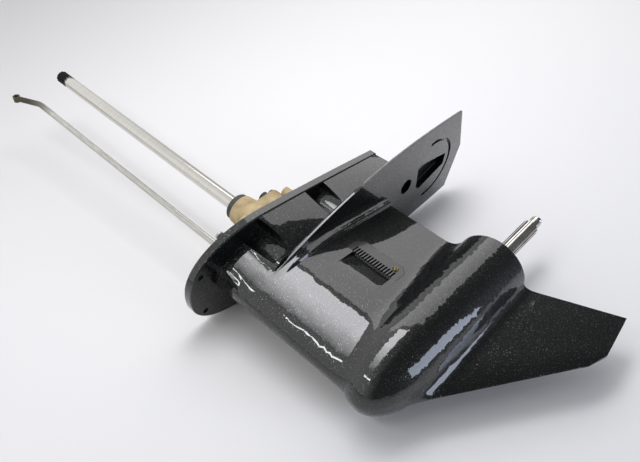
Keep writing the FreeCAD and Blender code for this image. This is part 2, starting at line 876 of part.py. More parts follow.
def tab_groove():
    """The curved serration groove round the trim tab's pocket."""
    centre = V(size("tab_groove_centre_behind"), 0, -size("plate_under_depth") - 2)
    outer, depth = size("tab_groove_radius"), size("tab_groove_depth") + 2
    inner = outer - size("tab_groove_width")
    sweep = 200
    wide = Part.makeCylinder(outer, depth, centre, V(0, 0, 1), sweep)
    wide.rotate(centre, V(0, 0, 1), -sweep / 2)
    return wide.cut(Part.makeCylinder(inner, depth, centre))


def intake_mouth(side):
    """A scoop that deepens aft into the seat of the screen, on one side of the leg."""
    front, seat, depth = size("intake_front"), size("intake_plate_front"), size("intake_scoop_depth")
    low = size("intake_scoop_bottom_inset") - size("intake_bottom_depth")
    high = -size("intake_top_depth") - size("intake_scoop_top_inset")
    corners = [
        V(front, side * (leg_half(front) + 0.5), low),
        V(seat, side * (leg_half(seat) - depth), low),
        V(seat, side * (leg_half(seat) + 2 * depth), low),
        V(front, side * (leg_half(front) + 2 * depth), low),
    ]
    return Part.Face(Part.makePolygon(corners + corners[:1])).extrude(V(0, 0, high - low))


def screen_frame(side):
    """The screen's own frame: X along its width aft, Z up, Y out of the leg."""
    front, back = size("intake_plate_front"), size("intake_plate_back")
    rise = leg_half(back) - leg_half(front)
    lean = math.degrees(math.atan2(rise, back - front)) * side
    seat = V(front, side * leg_half(front), -size("intake_bottom_depth"))
    return FreeCAD.Placement(seat, FreeCAD.Rotation(V(0, 0, 1), lean))


def screen_blank(side, grow, thickness, sink):
    """The screen's outline with two cut corners, as a plate lying in the leg's side."""
    long = size("intake_plate_back") - size("intake_plate_front")
    wide = math.hypot(long, leg_half(size("intake_plate_front")) - leg_half(size("intake_plate_back")))
    tall = size("intake_bottom_depth") - size("intake_top_depth")
    snip = size("intake_plate_corner")
    corners = [(-grow, -grow), (wide - snip, -grow), (wide + grow, snip), (wide + grow, tall - snip)]
    corners += [(wide - snip, tall + grow), (-grow, tall + grow)]
    near = sink if side < 0 else -sink - thickness
    outline = Part.makePolygon([V(x, near, z) for x, z in corners + corners[:1]])
    made = Part.Face(outline).extrude(V(0, thickness, 0))
    made.Placement = screen_frame(side)
    return made


for side_name, side in (("port", -1), ("starboard", 1)):
    hollows.append(shaped(f"intake_scoop_{side_name}", intake_mouth(side)))
    seat_depth = size("intake_plate_thickness") + 2 * size("intake_scoop_depth")
    seat_sink = size("intake_plate_thickness") + size("screen_sink") - seat_depth
    seat = screen_blank(side, size("free_clearance"), seat_depth, seat_sink)
    hollows.append(shaped(f"intake_seat_{side_name}", seat))

# Each plug's place aft of the driveshaft, its depth below the deck and its hole's depth.
PLUGS = {
    "drain": (
        -size("drain_plug_ahead"),
        size("prop_axis_depth") + size("drain_plug_below_shaft"),
        size("drain_hole_depth"),
    ),
    "level": (-size("level_plug_ahead"), size("level_plug_depth"), size("level_hole_depth")),
}


def plug_seat(name):
    """The middle of a plug's spot face, on the starboard side."""
    x, depth, _ = PLUGS[name]
    if name == "drain":
        reach = math.sqrt(torpedo_half(x) ** 2 - (depth - size("prop_axis_depth")) ** 2)
    else:
        reach = leg_half(x)
    return V(x, reach - size("plug_spot_sink"), -depth)


def plug_tool(name):
    radius, seat, deep = size("plug_radius"), plug_seat(name), PLUGS[name][2]
    hole = Part.makeCylinder(radius, deep + 2, seat - V(0, deep, 0), V(0, 1, 0))
    head = radius + size("plug_head_overlap") + size("free_clearance")
    face = Part.makeCylinder(head, 3 * radius, seat, V(0, 1, 0))
    return hole.fuse(face)


def pump_bolt_places():
    inset = size("pump_boss_inset")
    front, back = inset - size("pump_front"), size("pump_back") - 1.3 * inset
    side = size("pump_half_width") - inset
    return ((front, -side), (front, side), (back, -side), (back, side))


def bolt_tools(radius, low, high):
    return [Part.makeCylinder(radius, high - low, V(x, y, low)) for x, y in pump_bolt_places()]


def guide_bolt_place():
    return V(size("guide_bolt_behind") - size("shift_rod_ahead"), -size("guide_bolt_side"), 0)


def water_way():
    """The cored passage from behind both intake screens up to the pump's foot."""
    front, long, half = size("water_way_front"), size("water_way_length"), size("water_way_half_width")
    top, low = -size("deck_recess_depth") + 1, -size("intake_bottom_depth") + 27
    rise = Part.makeBox(long, 2 * half, top - low, V(front, -half, low))
    tall = -size("intake_top_depth") - 10 - low
    across = Part.makeBox(long + 5, 60, tall, V(front, -30, low))
    return rise.fuse(across)


def screen_screw_hole(side):
    """The tapped hole behind a screen's one screw."""
    hole = Part.makeCylinder(
        size("screen_screw_radius"), 18, V(size("screen_screw_in"), -9, size("screen_screw_up")), V(0, 1, 0)
    )
    hole.Placement = screen_frame(side)
    return hole


hollows.append(
    cylinder(
        "neck_side_hole",
        "Sizes.side_hole_radius",
        "20",
        ("Sizes.side_hole_behind", "-Sizes.neck_end_half_width + 6", "-Sizes.side_hole_depth"),
        FreeCAD.Rotation(V(1, 0, 0), 90),
    )
)
hollows += [
    shaped("exhaust_duct", exhaust_duct()),
    shaped("tab_recess", tab_recess()),
    shaped("tab_groove", tab_groove()),
    shaped("drain_plug_hole", plug_tool("drain")),
    shaped("level_plug_hole", plug_tool("level")),
    shaped("water_way", water_way()),
    shaped("screen_screw_hole_port", screen_screw_hole(-1)),
    shaped("screen_screw_hole_starboard", screen_screw_hole(1)),
]
SCREW_LOW = -size("deck_recess_depth") - size("screw_grip")
for number, tool in enumerate(bolt_tools(size("pump_bolt_radius"), SCREW_LOW, 0)):
    hollows.append(shaped(f"pump_bolt_hole_{number}", tool))
hollows.append(
    cylinder(
        "guide_bolt_hole",
        "Sizes.guide_bolt_radius",
        "Sizes.screw_grip + 5",
        (
            "Sizes.guide_bolt_behind - Sizes.shift_rod_ahead",
            "-Sizes.guide_bolt_side",
            "-Sizes.deck_recess_depth - Sizes.screw_grip",
        ),
    )
)
housing = cut("gearcase_housing", casting, joined("housing_hollows", hollows))

# The driveshaft line: shaft, bearings, seals and the pinion with its nut.

AXIS = "-Sizes.prop_axis_depth"


def spline_cutter(radius, depth, teeth, low, high):
    """Straight grooves round a shaft that points up, each as wide as the land beside it."""
    wide = math.pi * radius / teeth
    groove = Part.makeBox(depth * 2, wide, high - low, V(radius - depth, -wide / 2, low))
    grooves = []
    for i in range(teeth):
        turned = groove.copy()
        turned.rotate(V(0, 0, 0), V(0, 0, 1), 360 * i / teeth)
        grooves.append(turned)
    return grooves[0].multiFuse(grooves[1:])


def sectors(inner, outer, low, high, copies, angle, first):
    """Blocks of a ring round the upright axis, each centred on its own angle."""
    made = []
    for i in range(copies):
        wedge = Part.makeCylinder(outer, high - low, V(0, 0, low), V(0, 0, 1), angle)
        wedge = wedge.cut(Part.makeCylinder(inner, high - low + 2, V(0, 0, low - 1)))
        wedge.rotate(V(0, 0, 0), V(0, 0, 1), first + 360 * i / copies - angle / 2)
        made.append(wedge)
    return made


NUT_LOW = f"{AXIS} + Sizes.pinion_front - Sizes.pinion_nut_thickness"
PINION_LOW = f"{AXIS} + Sizes.pinion_front"
PINION_TOP = f"{AXIS} + Sizes.pinion_back"

shaft_blank = turned_piece(
    "driveshaft_blank",
    (
        ("0", NUT_LOW),
        ("Sizes.pinion_thread_radius", NUT_LOW),
        ("Sizes.pinion_thread_radius", PINION_LOW),
        ("Sizes.driveshaft_lower_radius", PINION_LOW),
        ("Sizes.driveshaft_lower_radius", PINION_TOP),
        ("Sizes.driveshaft_radius", PINION_TOP),
        ("Sizes.driveshaft_radius", "Sizes.driveshaft_top - 1"),
        ("Sizes.driveshaft_radius - 1", "Sizes.driveshaft_top"),
        ("0", "Sizes.driveshaft_top"),
    ),
)
top_splines = shaped(
    "driveshaft_splines",
    spline_cutter(
        size("driveshaft_radius"),
        size("driveshaft_spline_depth"),
        count("driveshaft_spline_count"),
        size("driveshaft_top") - size("driveshaft_spline_length"),
        size("driveshaft_top") + 1,
    ),
)
key_seat = block(
    "driveshaft_key_seat",
    "Sizes.key_width",
    "Sizes.key_width",
    "Sizes.key_length",
    ("Sizes.driveshaft_radius - Sizes.key_width / 2", "-Sizes.key_width / 2", "Sizes.impeller_base + 3"),
)
driveshaft = cut("driveshaft", shaft_blank, joined("driveshaft_cuts", [top_splines, key_seat]))
pinion_bearing = ring(
    "pinion_bearing",
    "Sizes.driveshaft_radius + Sizes.running_clearance",
    "Sizes.pinion_bearing_radius",
    f"{PINION_TOP} + 1",
    f"{PINION_TOP} + 1 + Sizes.pinion_bearing_length",
)
upper_bearing = ring(
    "driveshaft_upper_bearing",
    "Sizes.driveshaft_radius + Sizes.running_clearance",
    "Sizes.upper_bearing_radius",
    "-Sizes.upper_bearing_depth - Sizes.upper_bearing_length",
    "-Sizes.upper_bearing_depth",
)
seals = [
    ring(
        f"driveshaft_seal_{name}",
        "Sizes.driveshaft_radius + Sizes.running_clearance",
        "Sizes.upper_bearing_radius",
        f"-Sizes.upper_bearing_depth + {low}",
        f"-Sizes.upper_bearing_depth + {low} + Sizes.seal_length",
    )
    for name, low in (("lower", "0"), ("upper", "Sizes.seal_length + Sizes.free_clearance"))
]
driveshaft_seals = joined("driveshaft_seals", seals)


def cone_angle(teeth, mate):
    return math.atan2(count(teeth), count(mate))


def outer_cone():
    """Distance from the gears' common apex to the large end of their teeth, along the pitch cone."""
    return size("gear_module") * math.hypot(count("pinion_teeth"), count("gear_teeth")) / 2


def bevel_teeth(teeth, mate, first):
    """Straight bevel teeth with involute flanks, the apex at the origin and the back upwards."""
    angle, cone, module = cone_angle(teeth, mate), outer_cone(), size("gear_module")
    pitch = cone * math.tan(angle)
    base = pitch * math.cos(math.radians(20))
    slack = size("tooth_backlash") / 2
    half_at_pitch = (math.pi * module / 2 - slack) / 2 / pitch
    involute_at_pitch = math.tan(math.radians(20)) - math.radians(20)
    flank = []
    for share in (-1.7, -0.45, 0.2, 0.85):
        radius = pitch + share * module
        turn = math.acos(min(base / radius, 1.0))
        spread = half_at_pitch + involute_at_pitch - (math.tan(turn) - turn)
        flank.append((radius * math.cos(spread) - pitch, radius * math.sin(spread)))
    corners = flank + [(out, -across) for out, across in reversed(flank)]
    centre = V(cone * math.sin(angle), 0, cone * math.cos(angle))
    outward = V(math.cos(angle), 0, -math.sin(angle))
    points = [centre + outward * out + V(0, across, 0) for out, across in corners]
    small = (cone - size("gear_face_width")) / cone
    wires = [Part.makePolygon([p * share for p in points + points[:1]]) for share in (small, 1.0)]
    tooth = Part.makeLoft(wires, True, True)
    made = []
    for i in range(count(teeth)):
        turned = tooth.copy()
        turned.rotate(V(0, 0, 0), V(0, 0, 1), first + 360 * i / count(teeth))
        made.append(turned)
    return made


def root_point(teeth, mate, share):
    """Radius and height of the root cone at a share of the cone distance."""
    angle, cone, deep = cone_angle(teeth, mate), outer_cone() * share, 1.2 * size("gear_module") * share
    return cone * math.sin(angle) - deep * math.cos(angle), cone * math.cos(angle) + deep * math.sin(angle)


def turned_shape(corners):
    points = [V(radius, 0, height) for radius, height in corners]
    return Part.Face(Part.makePolygon(points + points[:1])).revolve(V(0, 0, 0), V(0, 0, 1), 360)


def gear_shape(hub_radius, bore_radius, first):
    """A driven gear: toothed ring, hub behind it, and dogs in the recess at its front."""
    small = (outer_cone() - size("gear_face_width") - 0.8) / outer_cone()
    inner_radius, front = root_point("gear_teeth", "pinion_teeth", small)
    rim_radius, rim = root_point("gear_teeth", "pinion_teeth", 1.02)
    floor = size("gear_dog_tip") + size("gear_dog_length")
    back, end = size("gear_back"), size("gear_hub_end")
    lip = size("dog_outer_radius") + 1.5
    blank = turned_shape(
        (
            (bore_radius, floor),
            (lip, floor),
            (lip, front),
            (inner_radius, front),
            (rim_radius, rim),
            (rim_radius - 2.5, rim + 5),
            (rim_radius - 4, back),
            (hub_radius, back),
            (hub_radius, end),
            (bore_radius, end),
        )
    )
    dogs = sectors(
        size("dog_inner_radius"),
        size("dog_outer_radius"),
        size("gear_dog_tip"),
        floor + 1,
        count("dog_count"),
        size("dog_angle"),
        0,
    )
    return blank.multiFuse(bevel_teeth("gear_teeth", "pinion_teeth", first) + dogs)


def pinion_shape(first):
    small = (outer_cone() - size("gear_face_width") - 0.8) / outer_cone()
    inner_radius, low = root_point("pinion_teeth", "gear_teeth", small)
    rim_radius, rim = root_point("pinion_teeth", "gear_teeth", 1.02)
    bore = size("driveshaft_lower_radius")
    blank = turned_shape(
        (
            (bore, low),
            (inner_radius, low),
            (rim_radius, rim),
            (size("pinion_hub_radius"), rim + 1.5),
            (size("pinion_hub_radius"), size("pinion_back")),
            (bore, size("pinion_back")),
        )
    )
    return blank.multiFuse(bevel_teeth("pinion_teeth", "gear_teeth", first))


half_pitch = 180 / count("gear_teeth")
pinion_gear = shaped("pinion_gear", pinion_shape(180), prop_place(UPRIGHT))
forward_gear = shaped(
    "forward_gear",
    gear_shape(size("forward_hub_radius"), size("needle_bore_radius"), half_pitch),
    prop_place(FORWARD),
)
reverse_gear = shaped(
    "reverse_gear",
    gear_shape(size("reverse_hub_radius"), size("shaft_middle_radius") + size("free_clearance"), 0),
    prop_place(AFT),
)


def hexagon(radius, low, high, bore):
    corners = [math.radians(60 * i) for i in range(6)]
    points = [V(radius * math.cos(turn), radius * math.sin(turn), low) for turn in corners]
    made = Part.Face(Part.makePolygon(points + points[:1])).extrude(V(0, 0, high - low))
    return made.cut(Part.makeCylinder(bore, high - low + 2, V(0, 0, low - 1))) if bore else made


pinion_nut = shaped(
    "pinion_nut",
    hexagon(
        size("pinion_nut_radius"),
        size("pinion_front") - size("pinion_nut_thickness"),
        size("pinion_front"),
        size("pinion_thread_radius"),
    ),
    prop_place(UPRIGHT),
)

# The gears' bearings.

forward_needle = ring(
    "forward_needle_bearing",
    "Sizes.shaft_front_radius + Sizes.running_clearance",
    "Sizes.needle_bore_radius",
    "24",
    "Sizes.shaft_front_end - 1.5",
    PROP_BASE,
    FORWARD,
)
forward_cone = turned_piece(
    "forward_bearing_cone",
    (
        ("Sizes.forward_hub_radius", "Sizes.forward_bearing_back"),
        ("Sizes.forward_bearing_radius - 6", "Sizes.forward_bearing_back"),
        ("Sizes.forward_bearing_radius - 9", "Sizes.forward_bearing_front"),
        ("Sizes.forward_hub_radius", "Sizes.forward_bearing_front"),
    ),
    PROP_BASE,
    FORWARD,
)
forward_cup = turned_piece(
    "forward_bearing_cup",
    (
        ("Sizes.forward_bearing_radius - 6 + Sizes.running_clearance", "Sizes.forward_bearing_back"),
        ("Sizes.forward_bearing_radius", "Sizes.forward_bearing_back"),
        ("Sizes.forward_bearing_radius", "Sizes.gear_cavity_front"),
        ("Sizes.forward_bearing_radius - 9 + Sizes.running_clearance", "Sizes.gear_cavity_front"),
        ("Sizes.forward_bearing_radius - 9 + Sizes.running_clearance", "Sizes.forward_bearing_front"),
    ),
    PROP_BASE,
    FORWARD,
)
reverse_inner = ring(
    "reverse_bearing_inner_race",
    "Sizes.reverse_hub_radius",
    "Sizes.reverse_race_radius",
    "Sizes.carrier_front",
    "Sizes.reverse_bearing_back - Sizes.free_clearance",
    PROP_BASE,
    AFT,
)
reverse_outer = ring(
    "reverse_bearing_outer_race",
    "Sizes.reverse_race_radius + Sizes.running_clearance",
    "Sizes.reverse_bearing_radius",
    "Sizes.carrier_front",
    "Sizes.reverse_bearing_back",
    PROP_BASE,
    AFT,
)
thrust_washer = ring(
    "thrust_washer",
    "Sizes.shaft_middle_radius",
    "Sizes.reverse_hub_radius",
    "Sizes.gear_hub_end + Sizes.free_clearance",
    "Sizes.shaft_collar_front",
    PROP_BASE,
    AFT,
)

# The propeller shaft, with the sliding dog clutch and the parts that shift it.

prop_blank = turned_piece(
    "propeller_shaft_blank",
    (
        ("0", "-Sizes.shaft_front_end"),
        ("Sizes.shaft_front_radius", "-Sizes.shaft_front_end"),
        ("Sizes.shaft_front_radius", "-21"),
        ("Sizes.shaft_middle_radius", "-21"),
        ("Sizes.shaft_middle_radius", "Sizes.shaft_collar_front"),
        ("Sizes.shaft_collar_radius", "Sizes.shaft_collar_front"),
        ("Sizes.shaft_collar_radius", "Sizes.shaft_collar_back"),
        ("Sizes.shaft_main_radius", "Sizes.shaft_collar_back"),
        ("Sizes.shaft_main_radius", "Sizes.shaft_cone_start"),
        ("Sizes.prop_spline_radius", "Sizes.shaft_cone_end"),
        ("Sizes.prop_spline_radius", "Sizes.prop_shaft_tip - Sizes.prop_thread_length - 1"),
        ("Sizes.prop_thread_radius", "Sizes.prop_shaft_tip - Sizes.prop_thread_length"),
        ("Sizes.prop_thread_radius", "Sizes.prop_shaft_tip - 1"),
        ("Sizes.prop_thread_radius - 1", "Sizes.prop_shaft_tip"),
        ("0", "Sizes.prop_shaft_tip"),
    ),
    PROP_BASE,
    AFT,
)
prop_splines = shaped(
    "propeller_splines",
    spline_cutter(
        size("prop_spline_radius"),
        size("prop_spline_depth"),
        count("prop_spline_count"),
        size("shaft_cone_end") + 2,
        size("prop_shaft_tip") - size("prop_thread_length") + 1,
    ),
    prop_place(AFT),
)
slider_bore = cylinder(
    "slider_bore",
    "Sizes.slider_radius + Sizes.running_clearance",
    "Sizes.shaft_front_end + 14",
    ("-Sizes.shaft_front_end", "0", AXIS),
    AFT,
)
pin_slot = block(
    "cross_pin_slot",
    "2 * (Sizes.clutch_travel + Sizes.cross_pin_radius + Sizes.free_clearance)",
    "2 * Sizes.shaft_main_radius",
    "2 * (Sizes.cross_pin_radius + Sizes.running_clearance)",
    (
        "-Sizes.clutch_travel - Sizes.cross_pin_radius - Sizes.free_clearance",
        "-Sizes.shaft_main_radius",
        f"{AXIS} - Sizes.cross_pin_radius - Sizes.running_clearance",
    ),
)
shaft_cuts = joined("propeller_shaft_cuts", [prop_splines, slider_bore, pin_slot])
propeller_shaft = cut("propeller_shaft", prop_blank, shaft_cuts)


def clutch_shape():
    """The sliding clutch: a grooved sleeve with dogs on both faces, set between the gears' dogs."""
    bore = size("shaft_middle_radius") + size("running_clearance")
    outer, half = size("dog_outer_radius"), size("clutch_body_half")
    groove, floor = 1.5, size("clutch_groove_floor")
    sleeve = turned_shape(
        (
            (bore, -half),
            (outer, -half),
            (outer, -groove),
            (floor, -groove),
            (floor, groove),
            (outer, groove),
            (outer, half),
            (bore, half),
        )
    )
    between = 180 / count("dog_count")
    dogs = []
    for low, high in ((-size("clutch_dog_tip"), -half + 1), (half - 1, size("clutch_dog_tip"))):
        dogs += sectors(
            size("dog_inner_radius"), outer, low, high, count("dog_count"), size("dog_angle"), between
        )
    pin = Part.makeCylinder(size("cross_pin_radius"), 2 * outer, V(0, -outer, 0), V(0, 1, 0))
    return sleeve.multiFuse(dogs).cut(pin)


dog_clutch = shaped("dog_clutch", clutch_shape(), prop_place(AFT))
clutch_cross_pin = cylinder(
    "clutch_cross_pin",
    "Sizes.cross_pin_radius",
    "2 * (Sizes.clutch_groove_floor - Sizes.running_clearance)",
    ("0", "-Sizes.clutch_groove_floor + Sizes.running_clearance", AXIS),
    FreeCAD.Rotation(V(1, 0, 0), -90),
)
clutch_spring = doc.addObject("Part::Torus", "clutch_pin_spring")
clutch_spring.setExpression("Radius1", "Sizes.clutch_groove_floor + Sizes.clutch_spring_radius")
clutch_spring.setExpression("Radius2", "Sizes.clutch_spring_radius")
place(clutch_spring, PROP_BASE, AFT)

HEAD_BACK = "-Sizes.follower_back - Sizes.follower_neck - Sizes.free_clearance"
slider_blank = turned_piece(
    "shift_slider_blank",
    (
        ("0", f"{HEAD_BACK} - Sizes.slider_head_length"),
        ("Sizes.slider_head_radius", f"{HEAD_BACK} - Sizes.slider_head_length"),
        ("Sizes.slider_head_radius", HEAD_BACK),
        ("Sizes.slider_radius", HEAD_BACK),
        ("Sizes.slider_radius", "6"),
        ("0", "6"),
    ),
    PROP_BASE,
    AFT,
)
slider_hole = cylinder(
    "shift_slider_hole",
    "Sizes.cross_pin_radius",
    "4 * Sizes.slider_radius",
    ("0", "-2 * Sizes.slider_radius", AXIS),
    FreeCAD.Rotation(V(1, 0, 0), -90),
)
shift_slider = cut("shift_slider", slider_blank, slider_hole)


def follower_shape():
    """The follower: two ears astride the cam, and a slotted cup that traps the slider's head."""
    back, front = -size("follower_back"), -size("follower_front")
    ear_out, ear_in = size("follower_radius"), size("cam_thickness") / 2 + size("free_clearance")
    high = math.sqrt(ear_out**2 - (ear_in + 2) ** 2)
    cup = Part.makeCylinder(size("follower_radius"), back - front, V(front, 0, 0), V(1, 0, 0))
    tip = -size("cam_slot_ahead") - 2 * size("cam_pin_radius")
    thick = ear_out - ear_in
    ears = [Part.makeBox(front - tip + 1, thick, 2 * high, V(tip, low, -high)) for low in (ear_in, -ear_out)]
    gap, neck = size("free_clearance"), size("slider_radius") + size("free_clearance")
    head = size("slider_head_radius") + gap
    seat_back = back - size("follower_neck")
    seat_front = seat_back - size("slider_head_length") - 2 * gap
    tools = [
        Part.makeCylinder(head, seat_back - seat_front, V(seat_front, 0, 0), V(1, 0, 0)),
        Part.makeBox(seat_back - seat_front, 20, 2 * head, V(seat_front, 0, -head)),
        Part.makeCylinder(neck, back - seat_back + 1, V(seat_back, 0, 0), V(1, 0, 0)),
        Part.makeBox(back - seat_back + 1, 20, 2 * neck, V(seat_back, 0, -neck)),
        Part.makeCylinder(size("cam_pin_radius"), 40, V(-size("cam_slot_ahead"), -20, 0), V(0, 1, 0)),
    ]
    return cup.multiFuse(ears).cut(tools[0].multiFuse(tools[1:]))


cam_follower = shaped("cam_follower", follower_shape(), prop_place(UPRIGHT))
cam_pin = cylinder(
    "cam_pin",
    "Sizes.cam_pin_radius",
    "2 * Sizes.follower_radius",
    ("-Sizes.cam_slot_ahead", "-Sizes.follower_radius", AXIS),
    FreeCAD.Rotation(V(1, 0, 0), -90),
)


def cam_shape():
    """The shift cam: a plate on the rod's foot, whose sloping slot drives the follower fore and aft."""
    half, tall, thick = size("cam_half_width"), size("cam_half_height"), size("cam_thickness")
    centre, rod = -size("cam_slot_ahead"), -size("shift_rod_ahead")
    neck, rise = size("cam_neck_half_width"), size("cam_neck_height")
    plate = Part.makeBox(2 * half, thick, 2 * tall, V(centre - half, -thick / 2, -tall))
    neck_bar = Part.makeBox(2 * neck, thick, rise + 1, V(rod - neck, -thick / 2, tall - 1))
    hub = Part.makeCylinder(size("cam_hub_radius"), size("cam_hub_height"), V(rod, 0, tall + rise / 2))
    reach = V(size("clutch_travel"), 0, -size("shift_rod_travel"))
    wide = size("cam_pin_radius") + size("running_clearance")
    ends = [V(centre, -thick, 0) + reach * sign for sign in (-1, 1)]
    slot = [Part.makeCylinder(wide, 2 * thick, end, V(0, 1, 0)) for end in ends]
    side = V(reach.z, 0, -reach.x).normalize() * wide
    corners = [ends[0] + side, ends[1] + side, ends[1] - side, ends[0] - side]
    slot.append(Part.Face(Part.makePolygon(corners + corners[:1])).extrude(V(0, 2 * thick, 0)))
    socket = Part.makeCylinder(size("shift_rod_radius"), 2 * size("cam_hub_height"), V(rod, 0, tall + 2))
    return plate.multiFuse([neck_bar, hub]).cut(slot[0].multiFuse(slot[1:] + [socket]))


shift_cam = shaped("shift_cam", cam_shape(), prop_place(UPRIGHT))


def shift_rod_shape():
    """The rod, straight up from the cam, bent forward near its top and ending in an eye."""
    rod, radius = -size("shift_rod_ahead"), size("shift_rod_radius")
    low = V(rod, 0, size("cam_half_height") + 2 - size("prop_axis_depth"))
    eye = V(-size("shift_rod_eye_ahead"), 0, size("shift_rod_eye_height") - size("shift_rod_eye_radius"))
    bend = V(rod, 0, size("shift_rod_bend_height"))
    lean = math.atan2(rod - eye.x, eye.z - bend.z)
    slope = math.tan(lean / 2)
    curve = min(size("shift_rod_bend_radius"), 0.45 * (eye - bend).Length / slope)
    trim = curve * slope
    up, out = V(0, 0, 1), (eye - bend).normalize()
    start, end = bend - up * trim, bend + out * trim
    middle = bend + (start + end - bend * 2).normalize() * (curve / math.cos(lean / 2) - curve)
    turn = Part.Arc(start, middle, end).toShape()
    path = Part.Wire([Part.makeLine(low, start), turn, Part.makeLine(end, eye)])
    profile = Part.Wire(Part.makeCircle(radius, low, up))
    stem = path.makePipeShell([profile], True, False)
    wide = 2 * radius
    ball = Part.makeCylinder(size("shift_rod_eye_radius"), wide, eye - V(0, wide / 2, 0), V(0, 1, 0))
    hole = Part.makeCylinder(size("shift_rod_eye_hole"), wide + 2, eye - V(0, wide / 2 + 1, 0), V(0, 1, 0))
    return stem.fuse(ball).cut(hole)


shift_rod = shaped("shift_rod", shift_rod_shape())


def rod_guide_shape():
    """The guide that seals the shift rod where it leaves the deck, with its bolt's ear."""
    floor, top = -size("deck_recess_depth"), size("rod_guide_height")
    radius, ear = size("rod_guide_radius"), size("guide_ear_radius")
    centre = V(0, 0, floor)
    ear_at = guide_bolt_place() + V(size("shift_rod_ahead"), 0, floor)
    cone, deep, tall = size("rod_guide_cone"), size("rod_guide_spigot"), top - floor
    body = Part.makeCylinder(radius, tall - cone, centre)
    collar = Part.makeCone(radius, radius - 4, cone, V(0, 0, top - cone))
    lug = Part.makeCylinder(ear, tall, ear_at)
    web = Part.makeBox(math.hypot(ear_at.x, ear_at.y), ear, 0.8 * tall, V(0, -ear / 2, floor))
    web.rotate(V(0, 0, 0), V(0, 0, 1), math.degrees(math.atan2(ear_at.y, ear_at.x)))
    spigot = Part.makeCylinder(size("shift_rod_bore_radius"), deep, V(0, 0, floor - deep))
    long, low = 2 * (tall + deep), floor - 2 * deep
    bore = Part.makeCylinder(size("shift_rod_radius") + size("running_clearance"), long, V(0, 0, low))
    screw = Part.makeCylinder(size("guide_bolt_radius"), long, V(ear_at.x, ear_at.y, low))
    return body.multiFuse([collar, lug, web, spigot]).cut(bore.fuse(screw))


shift_rod_guide = shaped(
    "shift_rod_guide",
    rod_guide_shape(),
    FreeCAD.Placement(V(-size("shift_rod_ahead"), 0, 0), UPRIGHT),
)
guide_bolt = turned_piece(
    "shift_rod_guide_bolt",
    (
        ("0", "-Sizes.deck_recess_depth - Sizes.screw_grip"),
        ("Sizes.guide_bolt_radius", "-Sizes.deck_recess_depth - Sizes.screw_grip"),
        ("Sizes.guide_bolt_radius", "Sizes.rod_guide_height"),
        ("2 * Sizes.guide_bolt_radius", "Sizes.rod_guide_height"),
        ("2 * Sizes.guide_bolt_radius", "Sizes.rod_guide_height + Sizes.screw_head_height - 1"),
        ("2 * Sizes.guide_bolt_radius - 1", "Sizes.rod_guide_height + Sizes.screw_head_height"),
        ("0", "Sizes.rod_guide_height + Sizes.screw_head_height"),
    ),
    ("-Sizes.shift_rod_ahead + Sizes.guide_bolt_behind", "-Sizes.guide_bolt_side", "0"),
)

# The bearing carrier that closes the gearcase from behind.

DISC = "Sizes.carrier_disc_front"
carrier_blank = turned_piece(
    "bearing_carrier_blank",
    (
        ("Sizes.reverse_bearing_radius", "Sizes.carrier_front"),
        ("Sizes.gear_cavity_radius - Sizes.running_clearance", "Sizes.carrier_front"),
        ("Sizes.gear_cavity_radius - Sizes.running_clearance", "Sizes.o_ring_place - Sizes.o_ring_section"),
        ("Sizes.gear_cavity_radius - 2 * Sizes.o_ring_section", "Sizes.o_ring_place - Sizes.o_ring_section"),
        ("Sizes.gear_cavity_radius - 2 * Sizes.o_ring_section", "Sizes.o_ring_place + Sizes.o_ring_section"),
        ("Sizes.gear_cavity_radius - Sizes.running_clearance", "Sizes.o_ring_place + Sizes.o_ring_section"),
        ("Sizes.gear_cavity_radius - Sizes.running_clearance", "Sizes.carrier_pilot_back - 4"),
        ("Sizes.carrier_tube_radius", "Sizes.carrier_pilot_back + 8"),
        ("Sizes.carrier_tube_radius", DISC),
        ("Sizes.exhaust_chamber_radius - Sizes.running_clearance", DISC),
        ("Sizes.exhaust_chamber_radius - Sizes.running_clearance", "Sizes.carrier_disc_back"),
        ("Sizes.shaft_seal_radius", "Sizes.carrier_disc_back"),
        ("Sizes.shaft_seal_radius", "Sizes.carrier_needle_back"),
        ("Sizes.needle_outer_radius", "Sizes.carrier_needle_back"),
        ("Sizes.needle_outer_radius", "Sizes.carrier_needle_front"),
        ("Sizes.shaft_main_radius + Sizes.free_clearance", "Sizes.carrier_needle_front"),
        ("Sizes.shaft_main_radius + Sizes.free_clearance", "Sizes.shaft_collar_back + 4"),
        ("Sizes.reverse_hub_radius + 2", "Sizes.shaft_collar_back + 4"),
        ("Sizes.reverse_hub_radius + 2", "Sizes.reverse_bearing_back"),
        ("Sizes.reverse_bearing_radius", "Sizes.reverse_bearing_back"),
    ),
    PROP_BASE,
    AFT,
)
windows = sectors(
    size("carrier_tube_radius") + 1.5,
    size("exhaust_chamber_radius") - 5,
    size("carrier_disc_front") - 1,
    size("carrier_disc_back") + 1,
    count("carrier_window_count"),
    360 / count("carrier_window_count") - 14,
    0,
)
carrier_windows = shaped("carrier_windows", windows[0].multiFuse(windows[1:]), prop_place(AFT))
bearing_carrier = cut("bearing_carrier", carrier_blank, carrier_windows)
o_ring = doc.addObject("Part::Torus", "carrier_o_ring")
o_ring.setExpression("Radius1", "Sizes.gear_cavity_radius - Sizes.o_ring_section")
o_ring.setExpression("Radius2", "Sizes.o_ring_section - Sizes.running_clearance")
place(o_ring, ("Sizes.o_ring_place", "0", AXIS), AFT)
carrier_needle = ring(
    "carrier_needle_bearing",
    "Sizes.shaft_main_radius + Sizes.running_clearance",
    "Sizes.needle_outer_radius",
    "Sizes.carrier_needle_front",
    "Sizes.carrier_needle_back",
    PROP_BASE,
    AFT,
)
